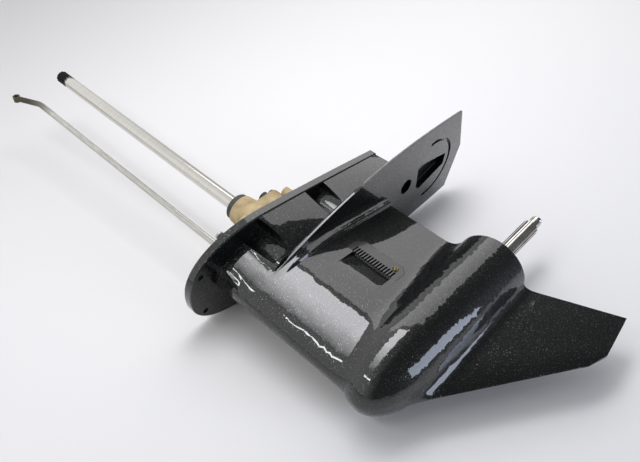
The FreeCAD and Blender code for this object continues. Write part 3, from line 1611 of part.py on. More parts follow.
shaft_seals = [
    ring(
        f"propeller_shaft_seal_{name}",
        "Sizes.shaft_main_radius + Sizes.running_clearance",
        "Sizes.shaft_seal_radius",
        low,
        f"{low} + Sizes.shaft_seal_length",
        PROP_BASE,
        AFT,
    )
    for name, low in (
        ("inner", "Sizes.carrier_needle_back"),
        ("outer", "Sizes.carrier_needle_back + Sizes.shaft_seal_length + Sizes.free_clearance"),
    )
]
propeller_shaft_seals = joined("propeller_shaft_seals", shaft_seals)
RING_NOTCH_ANGLE = 9
ring_blank = ring(
    "carrier_ring_nut_blank",
    "Sizes.exhaust_chamber_radius - 5",
    "Sizes.exhaust_chamber_radius",
    "Sizes.carrier_disc_back",
    "Sizes.carrier_ring_back",
    PROP_BASE,
    AFT,
)
notches = sectors(
    size("exhaust_chamber_radius") - size("ring_notch_inner"),
    size("exhaust_chamber_radius") - size("ring_notch_outer"),
    size("carrier_ring_back") - size("ring_notch_depth"),
    size("carrier_ring_back") + 1,
    count("ring_notch_count"),
    RING_NOTCH_ANGLE,
    0,
)
ring_notches = shaped("ring_nut_notches", notches[0].multiFuse(notches[1:]), prop_place(AFT))
carrier_ring_nut = cut("carrier_ring_nut", ring_blank, ring_notches)

# The water pump on the deck, round the driveshaft.

PUMP_CORNERS = (
    ("-Sizes.pump_front", "-Sizes.pump_half_width + Sizes.pump_corner_cut"),
    ("-Sizes.pump_front + Sizes.pump_corner_cut", "-Sizes.pump_half_width"),
    ("Sizes.pump_back - Sizes.pump_corner_cut", "-Sizes.pump_half_width"),
    ("Sizes.pump_back", "-Sizes.pump_half_width + Sizes.pump_corner_cut"),
    ("Sizes.pump_back", "Sizes.pump_half_width - Sizes.pump_corner_cut"),
    ("Sizes.pump_back - Sizes.pump_corner_cut", "Sizes.pump_half_width"),
    ("-Sizes.pump_front + Sizes.pump_corner_cut", "Sizes.pump_half_width"),
    ("-Sizes.pump_front", "Sizes.pump_half_width - Sizes.pump_corner_cut"),
)
FLOOR = "-Sizes.deck_recess_depth"
BASE_LOW = "-Sizes.deck_recess_depth + Sizes.gasket_thickness"
WEAR_LOW = "Sizes.impeller_base - Sizes.wear_plate_thickness"


def drilled(label, blank, bore, low, high, ports):
    """A pump plate with its shaft hole, its four bolt holes and its water ports."""
    tools = bolt_tools(size("pump_bolt_radius"), low, high) + ports
    tool = Part.makeCylinder(bore, high - low, V(0, 0, low)).multiFuse(tools)
    return cut(label, blank, shaped(label + "_holes", tool))


def water_port(front, back, half, low, high):
    return Part.makeBox(back - front, 2 * half, high - low, V(front, -half, low))


WATER_BACK = size("water_way_front") + size("water_way_length")
WATER_HALF = size("water_way_half_width")


gasket_blank = flat_piece("pump_gasket_blank", PUMP_CORNERS, "Sizes.gasket_thickness", ("0", "0", FLOOR))
foot_port = water_port(size("water_way_front"), WATER_BACK, WATER_HALF, -20, 2)
pump_gasket = drilled("pump_gasket", gasket_blank, size("upper_bearing_radius"), -20, 20, [foot_port])
base_plate = flat_piece(
    "pump_base_plate",
    PUMP_CORNERS,
    "Sizes.impeller_base - Sizes.wear_plate_thickness + Sizes.deck_recess_depth - Sizes.gasket_thickness",
    ("0", "0", BASE_LOW),
)
base_spigot = cylinder(
    "pump_base_spigot",
    "Sizes.upper_bearing_radius - Sizes.running_clearance",
    "Sizes.spigot_length",
    ("0", "0", f"{BASE_LOW} - Sizes.spigot_length"),
)
pump_base = drilled(
    "pump_base",
    joined("pump_base_blank", [base_plate, base_spigot]),
    size("driveshaft_radius") + size("free_clearance"),
    -30,
    20,
    [foot_port, water_port(size("inlet_port_front"), WATER_BACK, WATER_HALF, -3.5, 2)],
)
wear_blank = flat_piece("wear_plate_blank", PUMP_CORNERS, "Sizes.wear_plate_thickness", ("0", "0", WEAR_LOW))
wear_plate = drilled(
    "pump_wear_plate",
    wear_blank,
    size("driveshaft_radius") + size("free_clearance"),
    -20,
    20,
    [water_port(size("inlet_port_front"), size("inlet_port_back"), WATER_HALF - 1, -5, 5)],
)


def impeller_shape():
    """A rubber hub with vanes that trail away from the turn, each thickened at its tip."""
    hub, tall = size("impeller_hub_radius"), size("impeller_height")
    tip = size("liner_radius") - size("liner_offset") - size("free_clearance")
    low = size("impeller_base") + size("free_clearance")
    body = Part.makeCylinder(hub, tall, V(0, 0, low))
    thick, root = size("impeller_vane_thickness"), size("impeller_vane_root")
    bead_radius = size("impeller_bead_radius")
    long = tip - hub + root - bead_radius / 2
    vanes = []
    for i in range(count("impeller_blade_count")):
        vane = Part.makeBox(long, thick, tall, V(hub - root, -thick / 2, low))
        bead = Part.makeCylinder(bead_radius, tall, V(tip - bead_radius, -size("impeller_bead_trail"), low))
        turned = vane.fuse(bead)
        turned.rotate(V(0, 0, 0), V(0, 0, 1), 360 * i / count("impeller_blade_count") + 30)
        vanes.append(turned)
    wide = size("key_width")
    at = V(size("driveshaft_radius") - wide / 2, -wide / 2, size("impeller_base") + 3)
    key = Part.makeBox(wide, wide, size("key_length"), at)
    bore = Part.makeCylinder(size("driveshaft_radius"), tall + 2, V(0, 0, low - 1))
    return body.multiFuse(vanes).cut(bore.fuse(key))


impeller = shaped("pump_impeller", impeller_shape())
impeller_key = block(
    "impeller_key",
    "Sizes.key_width",
    "Sizes.key_width",
    "Sizes.key_length",
    ("Sizes.driveshaft_radius - Sizes.key_width / 2", "-Sizes.key_width / 2", "Sizes.impeller_base + 3"),
)
LINER_TOP = "Sizes.impeller_base + Sizes.impeller_height + 2 * Sizes.free_clearance"
liner_blank = turned_piece(
    "pump_liner_blank",
    (
        ("Sizes.liner_radius", "Sizes.impeller_base"),
        ("Sizes.liner_radius + Sizes.liner_wall", "Sizes.impeller_base"),
        ("Sizes.liner_radius + Sizes.liner_wall", f"{LINER_TOP} + Sizes.liner_wall"),
        ("0", f"{LINER_TOP} + Sizes.liner_wall"),
        ("0", LINER_TOP),
        ("Sizes.liner_radius", LINER_TOP),
    ),
    ("Sizes.liner_offset", "0", "0"),
)
liner_hole = cylinder(
    "pump_liner_hole",
    "Sizes.driveshaft_radius + Sizes.free_clearance",
    "Sizes.pump_top",
    ("0", "0", "0"),
)
liner_port = block(
    "pump_liner_port",
    "4 * Sizes.water_outlet_radius",
    "2 * Sizes.water_outlet_radius",
    "2 * Sizes.water_outlet_radius",
    (
        "Sizes.liner_radius - Sizes.water_outlet_radius",
        "-Sizes.water_outlet_radius",
        "Sizes.impeller_base + Sizes.pump_flange_thickness - 1",
    ),
)
pump_liner = cut("pump_liner", liner_blank, joined("pump_liner_holes", [liner_hole, liner_port]))


def pump_housing_shape():
    """The moulded pump body: a flanged tower round the shaft with the water outlet behind it."""
    base, top, foot = size("impeller_base"), size("pump_top"), size("pump_foot_radius")
    front, back, half = size("pump_front"), size("pump_back"), size("pump_half_width")
    corner, rim = size("pump_corner_cut"), size("pump_flange_thickness")
    corners = [(-front, -half + corner), (-front + corner, -half), (back - corner, -half)]
    corners += [(back, -half + corner), (back, half - corner), (back - corner, half)]
    corners += [(-front + corner, half), (-front, half - corner)]
    outline = Part.makePolygon([V(x, y, base) for x, y in corners + corners[:1]])
    flange = Part.Face(outline).extrude(V(0, 0, rim))
    shoulder = base + size("impeller_height") + 2 * size("liner_wall")
    tower = turned_shape(
        (
            (0, base),
            (foot, base),
            (foot, shoulder),
            (foot - 3, shoulder + rim),
            (size("pump_tower_radius") + 2, size("outlet_top")),
            (size("pump_tower_radius"), top),
            (0, top),
        )
    )
    outlet = capsule(4, size("outlet_back"), size("outlet_half_width"), base, size("outlet_top"))
    bosses = bolt_tools(size("pump_boss_radius"), base, size("pump_boss_top"))
    whole = flange.multiFuse([tower, outlet] + bosses)
    liner_high = base + size("impeller_height") + 2 * size("free_clearance") + size("liner_wall")
    liner = size("liner_radius") + size("liner_wall")
    behind, bore, duct = size("grommet_behind"), size("grommet_radius") - size("grommet_lip"), base + rim - 1
    seat, port, ahead = size("outlet_top") - size("grommet_stem_length"), 2 * size("water_outlet_radius"), 20
    tools = [
        Part.makeCylinder(liner, liner_high - base + 1, V(size("liner_offset"), 0, base - 1)),
        Part.makeCylinder(size("driveshaft_radius") + size("free_clearance"), top + rim, V(0, 0, 0)),
        Part.makeCylinder(bore, top - seat, V(behind, 0, seat)),
        Part.makeCylinder(size("water_duct_radius"), top - duct, V(behind, 0, duct)),
        Part.makeBox(behind - ahead, port, port, V(ahead, -port / 2, duct)),
    ]
    boss_top = size("pump_boss_top")
    tools += bolt_tools(size("pump_bolt_radius"), -rim, top)
    tools += bolt_tools(size("screw_head_radius") + 0.5, boss_top - size("screw_head_sink"), boss_top + rim)
    return whole.cut(tools[0].multiFuse(tools[1:]))


pump_housing = shaped("pump_housing", pump_housing_shape())


def pump_bolts_shape():
    """Four flanged screws down through the pump's bosses."""
    seat = size("pump_boss_top") - size("screw_head_sink")
    made = []
    for x, y in pump_bolt_places():
        stem = Part.makeCylinder(size("pump_bolt_radius"), seat - SCREW_LOW, V(x, y, SCREW_LOW))
        head = hexagon(size("screw_head_radius"), seat, seat + size("screw_head_height"), 0)
        head.translate(V(x, y, 0))
        made.append(stem.fuse(head))
    return Part.makeCompound(made)


pump_bolts = shaped("pump_bolts", pump_bolts_shape())


def grommet_shape():
    """The rubber grommet that takes the water tube, with its lip and its blind plug behind."""
    top, at, radius = size("outlet_top"), size("grommet_behind"), size("grommet_radius")
    tall, long, narrow = size("grommet_height"), size("grommet_stem_length"), radius - size("grommet_lip")
    lip = Part.makeCylinder(radius, tall, V(at, 0, top))
    stem = Part.makeCylinder(narrow, long, V(at, 0, top - long))
    behind = size("grommet_plug_behind")
    knob = Part.makeCylinder(narrow, size("grommet_plug_height"), V(at + behind, 0, top))
    web = Part.makeBox(behind, radius, size("grommet_plug_height") / 2, V(at, -radius / 2, top))
    bore = Part.makeCylinder(size("water_outlet_radius"), 2 * (long + tall), V(at, 0, top - 1.5 * long))
    return lip.multiFuse([stem, knob, web]).cut(bore)


grommet = shaped("water_tube_grommet", grommet_shape())
collar = turned_piece(
    "driveshaft_collar",
    (
        ("Sizes.driveshaft_radius", "Sizes.pump_top + Sizes.free_clearance"),
        ("Sizes.collar_radius", "Sizes.pump_top + Sizes.free_clearance"),
        ("Sizes.collar_radius", "Sizes.pump_top + Sizes.collar_height - 2"),
        ("Sizes.collar_radius - 2", "Sizes.pump_top + Sizes.collar_height"),
        ("Sizes.driveshaft_radius", "Sizes.pump_top + Sizes.collar_height"),
    ),
)

# Intake screens, plugs and dowels.


def screen_shape(side):
    """A moulded intake screen: a snipped plate with a comb of slots along its front edge."""
    plate = screen_blank(side, 0, size("intake_plate_thickness"), size("screen_sink"))
    tall, margin = size("intake_bottom_depth") - size("intake_top_depth"), size("intake_slot_margin")
    slots, wide, deep = count("intake_slot_count"), size("intake_slot_width"), size("intake_slot_length")
    reach = size("intake_plate_back") - size("intake_plate_front")
    tools = []
    for i in range(slots):
        z = margin + (tall - 2 * margin) * i / (slots - 1) - wide / 2
        tools.append(Part.makeBox(deep + 2, 2 * reach, wide, V(-2, -reach, z)))
    at = V(size("screen_screw_in"), -reach, size("screen_screw_up"))
    tools.append(Part.makeCylinder(size("screen_screw_radius"), 2 * reach, at, V(0, 1, 0)))
    comb = tools[0].multiFuse(tools[1:])
    comb.Placement = screen_frame(side)
    return plate.cut(comb)


def screen_screw_shape(side):
    """A screen's round-headed screw, its head on the screen's outer face."""
    turned = FreeCAD.Rotation(V(1, 0, 0), 90 if side < 0 else -90)
    radius, sink = size("screen_screw_radius"), size("screen_sink")
    stem = Part.makeCylinder(radius, 4 * radius, V(0, 0, -4 * radius))
    head = Part.makeCylinder(size("screen_screw_head_radius"), 0.85 * radius, V(0, 0, 0))
    screw = stem.fuse(head)
    at = V(size("screen_screw_in"), -sink * side, size("screen_screw_up"))
    screw.Placement = FreeCAD.Placement(at, turned)
    made = Part.makeCompound([screw])
    made.Placement = screen_frame(side)
    return made


screens = {}
for side_name, side in (("port", -1), ("starboard", 1)):
    screens[side_name] = shaped(f"intake_screen_{side_name}", screen_shape(side))
both_screws = Part.makeCompound([screen_screw_shape(side) for side in (-1, 1)])
screen_screws = shaped("intake_screen_screws", both_screws)


def plug_shape(name):
    """A slotted oil plug, its head on a washer in the spot face."""
    radius, seat, long = size("plug_radius"), plug_seat(name), size("plug_length")
    washer, tall, wide = size("plug_washer_thickness"), size("plug_head_height"), size("plug_head_overlap")
    stem = Part.makeCylinder(radius, long + washer, seat - V(0, long, 0), V(0, 1, 0))
    head = Part.makeCylinder(radius + wide, tall, seat + V(0, washer, 0), V(0, 1, 0))
    half, narrow = radius + wide + 1, tall / 4
    low = seat + V(-half, washer + tall / 2, -narrow)
    return stem.fuse(head).cut(Part.makeBox(2 * half, tall, 2 * narrow, low))


drain_plug = shaped("drain_plug", plug_shape("drain"))
level_plug = shaped("level_plug", plug_shape("level"))
washers = []
for name in PLUGS:
    thick, seat = size("plug_washer_thickness"), plug_seat(name)
    blank = Part.makeCylinder(size("plug_radius") + size("plug_head_overlap"), thick, seat, V(0, 1, 0))
    hole = Part.makeCylinder(size("plug_radius"), 3 * thick, seat - V(0, thick, 0), V(0, 1, 0))
    washers.append(blank.cut(hole))
plug_gaskets = shaped("plug_gaskets", Part.makeCompound(washers))
dowels = [
    cylinder(
        f"deck_dowel_{name}",
        "Sizes.dowel_radius",
        "2 * Sizes.dowel_height",
        (x, y, "-Sizes.dowel_height"),
    )
    for name, x, y in (
        ("back", "Sizes.dowel_behind", "0"),
        ("front", "-Sizes.dowel_ahead", "Sizes.dowel_ahead_side"),
    )
]
deck_dowels = joined("deck_dowels", dowels)
doc.recompute()

NODES = [
    housing,
    driveshaft,
    pinion_bearing,
    upper_bearing,
    driveshaft_seals,
    pinion_gear,
    pinion_nut,
    forward_gear,
    forward_needle,
    forward_cone,
    forward_cup,
    reverse_gear,
    reverse_inner,
    reverse_outer,
    thrust_washer,
    propeller_shaft,
    dog_clutch,
    clutch_cross_pin,
    clutch_spring,
    shift_slider,
    cam_follower,
    cam_pin,
    shift_cam,
    shift_rod,
    shift_rod_guide,
    guide_bolt,
    bearing_carrier,
    o_ring,
    carrier_needle,
    propeller_shaft_seals,
    carrier_ring_nut,
    pump_gasket,
    pump_base,
    wear_plate,
    impeller,
    impeller_key,
    pump_liner,
    pump_housing,
    pump_bolts,
    grommet,
    collar,
    screens["port"],
    screens["starboard"],
    screen_screws,
    drain_plug,
    level_plug,
    plug_gaskets,
    deck_dowels,
]

faults = []
for made in doc.Objects:
    if "Invalid" in made.State or "Error" in made.State:
        faults.append(f"{made.Label}: {made.State}")
for made in NODES:
    if made.Shape.isNull() or not made.Shape.isValid() or not made.Shape.Solids:
        faults.append(f"{made.Label}: no valid solid")
if faults:
    raise RuntimeError("; ".join(faults))

os.makedirs("parts", exist_ok=True)
for made in NODES:
    made.Shape.exportStep(f"parts/{made.Label}.step")
print(len(NODES), "nodes")
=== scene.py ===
import math

import bmesh
import bpy
import numpy as np
from mathutils import Matrix, Vector


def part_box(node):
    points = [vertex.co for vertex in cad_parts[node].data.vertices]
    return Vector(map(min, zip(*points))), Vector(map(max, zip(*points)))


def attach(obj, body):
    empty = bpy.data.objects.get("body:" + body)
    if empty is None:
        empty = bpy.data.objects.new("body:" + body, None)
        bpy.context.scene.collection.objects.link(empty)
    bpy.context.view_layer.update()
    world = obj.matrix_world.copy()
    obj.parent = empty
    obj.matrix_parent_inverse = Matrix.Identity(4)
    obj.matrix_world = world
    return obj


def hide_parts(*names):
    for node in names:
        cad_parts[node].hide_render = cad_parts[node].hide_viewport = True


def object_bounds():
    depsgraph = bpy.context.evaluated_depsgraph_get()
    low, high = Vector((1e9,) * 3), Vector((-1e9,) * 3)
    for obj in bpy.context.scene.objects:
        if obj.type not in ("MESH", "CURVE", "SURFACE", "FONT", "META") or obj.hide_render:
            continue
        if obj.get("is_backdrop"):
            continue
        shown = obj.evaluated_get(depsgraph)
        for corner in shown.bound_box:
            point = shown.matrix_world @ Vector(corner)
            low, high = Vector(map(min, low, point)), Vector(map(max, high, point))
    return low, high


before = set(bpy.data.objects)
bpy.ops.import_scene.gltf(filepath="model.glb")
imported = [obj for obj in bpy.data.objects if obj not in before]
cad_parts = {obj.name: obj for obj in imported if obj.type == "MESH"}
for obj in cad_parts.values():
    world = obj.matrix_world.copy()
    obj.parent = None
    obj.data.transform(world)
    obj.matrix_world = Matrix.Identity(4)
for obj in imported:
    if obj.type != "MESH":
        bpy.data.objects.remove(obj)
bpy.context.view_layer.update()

# The gearcase: one aluminium casting of leg, torpedo, skeg, plate and flange.
# It is blasted, primed and sprayed with gloss black enamel that carries fine metal flake,
# under a clear coat, so broad lights lie on it as soft sheets and the flake sparkles near them.


def shade(hex_colour):
    """A linear colour from an sRGB hex value."""
    parts = [int(hex_colour[i : i + 2], 16) / 255 for i in (0, 2, 4)]
    return [p / 12.92 if p <= 0.04045 else ((p + 0.055) / 1.055) ** 2.4 for p in parts] + [1.0]


def add(tree, kind, inputs=None, **settings):
    """Adds a node with its settings. Each input is given a value, or is linked to a socket."""
    node = tree.nodes.new(kind)
    for name, value in settings.items():
        setattr(node, name, value)
    for name, value in (inputs or {}).items():
        if isinstance(value, bpy.types.NodeSocket):
            tree.links.new(value, node.inputs[name])
        else:
            node.inputs[name].default_value = value
    return node


def new_finish(name):
    """An empty material: its tree and its own object coordinates."""
    material = bpy.data.materials.new(name)
    material.use_nodes = True
    tree = material.node_tree
    tree.nodes.clear()
    place = add(tree, "ShaderNodeTexCoord").outputs["Object"]
    return material, tree, place


def close_finish(tree, inputs):
    """The shader that ends a material."""
    shader = add(tree, "ShaderNodeBsdfPrincipled", inputs)
    add(tree, "ShaderNodeOutputMaterial", {"Surface": shader.outputs[0]})


def tones(tree, factor, stops):
    """A colour ramp through (place, hex colour) stops."""
    ramp = add(tree, "ShaderNodeValToRGB", {"Fac": factor})
    while len(ramp.color_ramp.elements) < len(stops):
        ramp.color_ramp.elements.new(0.5)
    for element, (where, colour) in zip(ramp.color_ramp.elements, stops):
        element.position = where
        element.color = shade(colour)
    return ramp.outputs["Color"]


def flake_enamel():
    """Sprayed enamel: near black, with flake drawn 0.8 mm wide where the real one is 0.1 mm."""
    flake_width, tilt = 0.0008, 0.26
    drift_width, peel_width, edge_radius = 0.09, 0.004, 0.0009
    material, tree, place = new_finish("gloss_black_flake_enamel")
    flake = add(tree, "ShaderNodeTexVoronoi", {"Vector": place, "Scale": 1 / flake_width})
    chance = add(tree, "ShaderNodeSeparateColor", {"Color": flake.outputs["Color"]}).outputs
    shown = add(tree, "ShaderNodeMapRange", {0: chance[0], 1: 0.87, 2: 0.94, 3: 0.0, 4: 1.0}).outputs[0]
    drift = add(
        tree, "ShaderNodeTexNoise", {"Vector": place, "Scale": 1 / drift_width, "Detail": 2.0}
    ).outputs["Fac"]
    ground = tones(tree, drift, ((0.3, "08090b"), (0.7, "0c0e0f")))
    metal = tones(tree, chance[1], ((0.0, "161a15"), (0.6, "343b31"), (1.0, "71786b")))
    colour = add(tree, "ShaderNodeMix", {0: shown, 6: ground, 7: metal}, data_type="RGBA").outputs[2]
    rounded = add(tree, "ShaderNodeBevel", {"Radius": edge_radius}, samples=4).outputs[0]
    lean = flake.outputs["Color"]
    for operation, others in (
        ("SUBTRACT", {1: (0.5, 0.5, 0.5)}),
        ("MULTIPLY_ADD", {1: (tilt, tilt, tilt), 2: rounded}),
        ("NORMALIZE", {}),
    ):
        lean = add(tree, "ShaderNodeVectorMath", {0: lean, **others}, operation=operation).outputs[0]
    peel = add(
        tree, "ShaderNodeTexNoise", {"Vector": place, "Scale": 1 / peel_width, "Detail": 1.0}
    ).outputs["Fac"]
    skin = add(
        tree, "ShaderNodeBump", {"Height": peel, "Strength": 0.1, "Distance": 0.0002, "Normal": rounded}
    )
    matt = add(tree, "ShaderNodeMapRange", {0: drift, 1: 0.3, 2: 0.7, 3: 0.3, 4: 0.38}).outputs[0]
    close_finish(
        tree,
        {
            "Base Color": colour,
            "Metallic": shown,
            "Roughness": matt,
            "Specular IOR Level": 0.12,
            "Normal": lean,
            "Coat Weight": 1.0,
            "Coat IOR": 1.6,
            "Coat Roughness": 0.03,
            "Coat Normal": skin.outputs[0],
        },
    )
    return material


def split_facets(shell, longest, rounds=6):
    """Halves a mesh's long edges until every facet is small enough to be shaded by itself."""
    for _ in range(rounds):
        long_edges = [edge for edge in shell.edges if edge.calc_length() > longest]
        if not long_edges:
            break
        bmesh.ops.subdivide_edges(shell, edges=long_edges, cuts=1)
        bmesh.ops.triangulate(shell, faces=[face for face in shell.faces if len(face.verts) > 3])


def even_shading(mesh, smooth, rounds=12):
    """Gives a mesh a fair surface's normals: each facet leans to its neighbours, not over an edge."""
    mesh.calc_loop_triangles()
    count = len(mesh.polygons)
    normals, areas = np.empty(count * 3), np.empty(count)
    mesh.polygons.foreach_get("normal", normals)
    mesh.polygons.foreach_get("area", areas)
    normals = normals.reshape(-1, 3)
    corners, ways = np.empty(count * 3, int), np.empty(count * 3, int)
    mesh.loops.foreach_get("vertex_index", corners)
    mesh.loops.foreach_get("edge_index", ways)
    owner = np.repeat(np.arange(count), 3)
    order = np.argsort(ways, kind="stable")
    same = ways[order][1:] == ways[order][:-1]
    one, other = owner[order][:-1][same], owner[order][1:][same]
    limit, least = math.cos(math.radians(smooth)), 1e-12
    alike = (normals[one] * normals[other]).sum(1) > limit
    one, other = one[alike], other[alike]
    for _ in range(rounds):
        weighed = normals * areas[:, None]
        pull = weighed.copy()
        np.add.at(pull, one, weighed[other])
        np.add.at(pull, other, weighed[one])
        normals = pull / np.maximum(np.linalg.norm(pull, axis=1), least)[:, None]
    order = np.argsort(corners, kind="stable")
    corner, facet = corners[order], owner[order]
    pull = normals * areas[:, None]
    total = pull[facet]
    for step in range(1, int(np.bincount(corners).max())):
        first = np.flatnonzero(corner[step:] == corner[:-step])
        alike = (normals[facet[first]] * normals[facet[first + step]]).sum(1) > limit
        first = first[alike]
        total[first] += pull[facet[first + step]]
        total[first + step] += pull[facet[first]]
    finished = np.empty((count * 3, 3))
    finished[order] = total / np.maximum(np.linalg.norm(total, axis=1), least)[:, None]
    mesh.normals_split_custom_set(finished.tolist())


WELD = 2e-6


def dressed(node, name, material, body, smooth=35.0, facet=0.02):
    """A welded copy of a CAD node that stands for it, with soft shading up to an angle in degrees."""
    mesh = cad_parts[node].data.copy()
    mesh.name = name
    shell = bmesh.new()
    shell.from_mesh(mesh)
    bmesh.ops.remove_doubles(shell, verts=shell.verts, dist=WELD)
    split_facets(shell, facet)
    shell.to_mesh(mesh)
    shell.free()
    mesh.materials.clear()
    mesh.materials.append(material)
    mesh.shade_smooth()
    piece = bpy.data.objects.new(name, mesh)
    bpy.context.scene.collection.objects.link(piece)
    even_shading(mesh, smooth)
    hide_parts(node)
    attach(piece, body)
    return piece


enamel = flake_enamel()
gearcase = dressed(
    "gearcase_housing", "gearcase_casting", enamel, "gearcase", smooth=22.0, facet=0.009
)

# The intake screens: moulded plates let into both sides of the leg and sprayed over with it,
# one brass screw each. The comb of slots along the front edge lets water in and keeps weed out.


def moulded_black(name, dark, light, gloss):
    """Moulded nylon, a little grained. Where the enamel covers it, a clear coat lies on top."""
    grain_width, edge_radius = 0.0015, 0.0004
    material, tree, place = new_finish(name)
    grain = add(
        tree, "ShaderNodeTexNoise", {"Vector": place, "Scale": 1 / grain_width, "Detail": 2.0}
    ).outputs["Fac"]
    colour = tones(tree, grain, ((0.3, dark), (0.7, light)))
    matt = add(tree, "ShaderNodeMapRange", {0: grain, 1: 0.3, 2: 0.7, 3: 0.28, 4: 0.42}).outputs[0]
    rounded = add(tree, "ShaderNodeBevel", {"Radius": edge_radius}, samples=4).outputs[0]
    bump = add(
        tree, "ShaderNodeBump", {"Height": grain, "Strength": 0.2, "Distance": 0.0002, "Normal": rounded}
    )
    close_finish(
        tree,
        {
            "Base Color": colour,
            "Roughness": matt,
            "IOR": 1.5,
            "Normal": bump.outputs[0],
            "Coat Weight": gloss,
            "Coat IOR": 1.6,
            "Coat Roughness": 0.06,
            "Coat Normal": rounded,
        },
    )
    return material


sprayed_nylon = moulded_black("sprayed_black_nylon", "0b0c0d", "141516", 0.5)
for side in ("port", "starboard"):
    dressed(
        f"intake_screen_{side}", f"intake_screen_plate_{side}", sprayed_nylon, "gearcase"
    )


def cut_metal(name, dark, light, roughness, stretch=(1, 1, 14)):
    """Machined metal: fine tool lines, drawn 0.4 mm apart along the axis that is stretched most."""
    line_width, cloud_width = 0.0004, 0.02
    material, tree, place = new_finish(name)
    laid = add(tree, "ShaderNodeMapping", {"Vector": place, "Scale": stretch}).outputs[0]
    lines = add(
        tree, "ShaderNodeTexNoise", {"Vector": laid, "Scale": 1 / line_width / max(stretch), "Detail": 3.0}
    ).outputs["Fac"]
    cloud = add(
        tree, "ShaderNodeTexNoise", {"Vector": place, "Scale": 1 / cloud_width, "Detail": 3.0}
    ).outputs["Fac"]
    colour = tones(tree, cloud, ((0.3, dark), (0.7, light)))
    matt = add(
        tree, "ShaderNodeMapRange", {0: lines, 1: 0.3, 2: 0.7, 3: roughness * 0.75, 4: roughness * 1.35}
    ).outputs[0]
    bump = add(tree, "ShaderNodeBump", {"Height": lines, "Strength": 0.2, "Distance": 0.0001})
    close_finish(
        tree, {"Base Color": colour, "Metallic": 1.0, "Roughness": matt, "Normal": bump.outputs[0]}
    )
    return material


def new_growth(name, values):
    """An empty Geometry Nodes tree whose number inputs are named, with its input sockets."""
    tree = bpy.data.node_groups.new(name, "GeometryNodeTree")
    tree.interface.new_socket("Geometry", in_out="INPUT", socket_type="NodeSocketGeometry")
    tree.interface.new_socket("Geometry", in_out="OUTPUT", socket_type="NodeSocketGeometry")
    for label, value in values.items():
        socket = tree.interface.new_socket(label, in_out="INPUT", socket_type="NodeSocketFloat")
        socket.default_value = value
    return tree, add(tree, "NodeGroupInput").outputs


def close_growth(tree, seeds, shape, material):
    """Ends a tree: the shape at each seed, turned to its axis, as real geometry with its material."""
    way = add(tree, "GeometryNodeInputNamedAttribute", {"Name": "axis"}, data_type="FLOAT_VECTOR").outputs[0]
    turn = add(tree, "FunctionNodeAlignRotationToVector", {"Vector": way}, axis="Z").outputs[0]
    placed = add(
        tree, "GeometryNodeInstanceOnPoints", {"Points": seeds, "Instance": shape, "Rotation": turn}
    ).outputs[0]
    real = add(tree, "GeometryNodeRealizeInstances", {"Geometry": placed}).outputs[0]
    made = add(tree, "GeometryNodeSetMaterial", {"Geometry": real, "Material": material}).outputs[0]
    add(tree, "NodeGroupOutput", {"Geometry": made})


def grown(name, tree, values, points, axes, body, smooth=35.0):
    """The plain mesh that a tree grows at some points, each turned to its axis."""
    seeds = bpy.data.meshes.new(name + "_seeds")
    seeds.from_pydata([tuple(point) for point in points], [], [])
    ways = seeds.attributes.new("axis", "FLOAT_VECTOR", "POINT")
    ways.data.foreach_set("vector", np.array(axes, dtype=float).ravel())
    piece = bpy.data.objects.new(name, seeds)
    bpy.context.scene.collection.objects.link(piece)
    growth = piece.modifiers.new("growth", "NODES")
    growth.node_group = tree
    for item in tree.interface.items_tree:
        if item.in_out == "INPUT" and item.name in values:
            growth[item.identifier] = values[item.name]
    graph = bpy.context.evaluated_depsgraph_get()
    mesh = bpy.data.meshes.new_from_object(piece.evaluated_get(graph), depsgraph=graph)
    piece.modifiers.clear()
    piece.data = mesh
    mesh.name = name
    mesh.shade_smooth()
    mesh.set_sharp_from_angle(angle=math.radians(smooth))
    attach(piece, body)
    return piece


def islands(node):
    """The corners of each separate solid in a CAD node."""
    shell = bmesh.new()
    shell.from_mesh(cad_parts[node].data)
    bmesh.ops.remove_doubles(shell, verts=shell.verts, dist=WELD)
    left = set(shell.verts)
    found = []
    while left:
        open_ends = [left.pop()]
        solid = []
        while open_ends:
            vertex = open_ends.pop()
            solid.append(tuple(vertex.co))
            for edge in vertex.link_edges:
                nearby = edge.other_vert(vertex)
                if nearby in left:
                    left.remove(nearby)
                    open_ends.append(nearby)
        found.append(np.array(solid))
    shell.free()
    return found


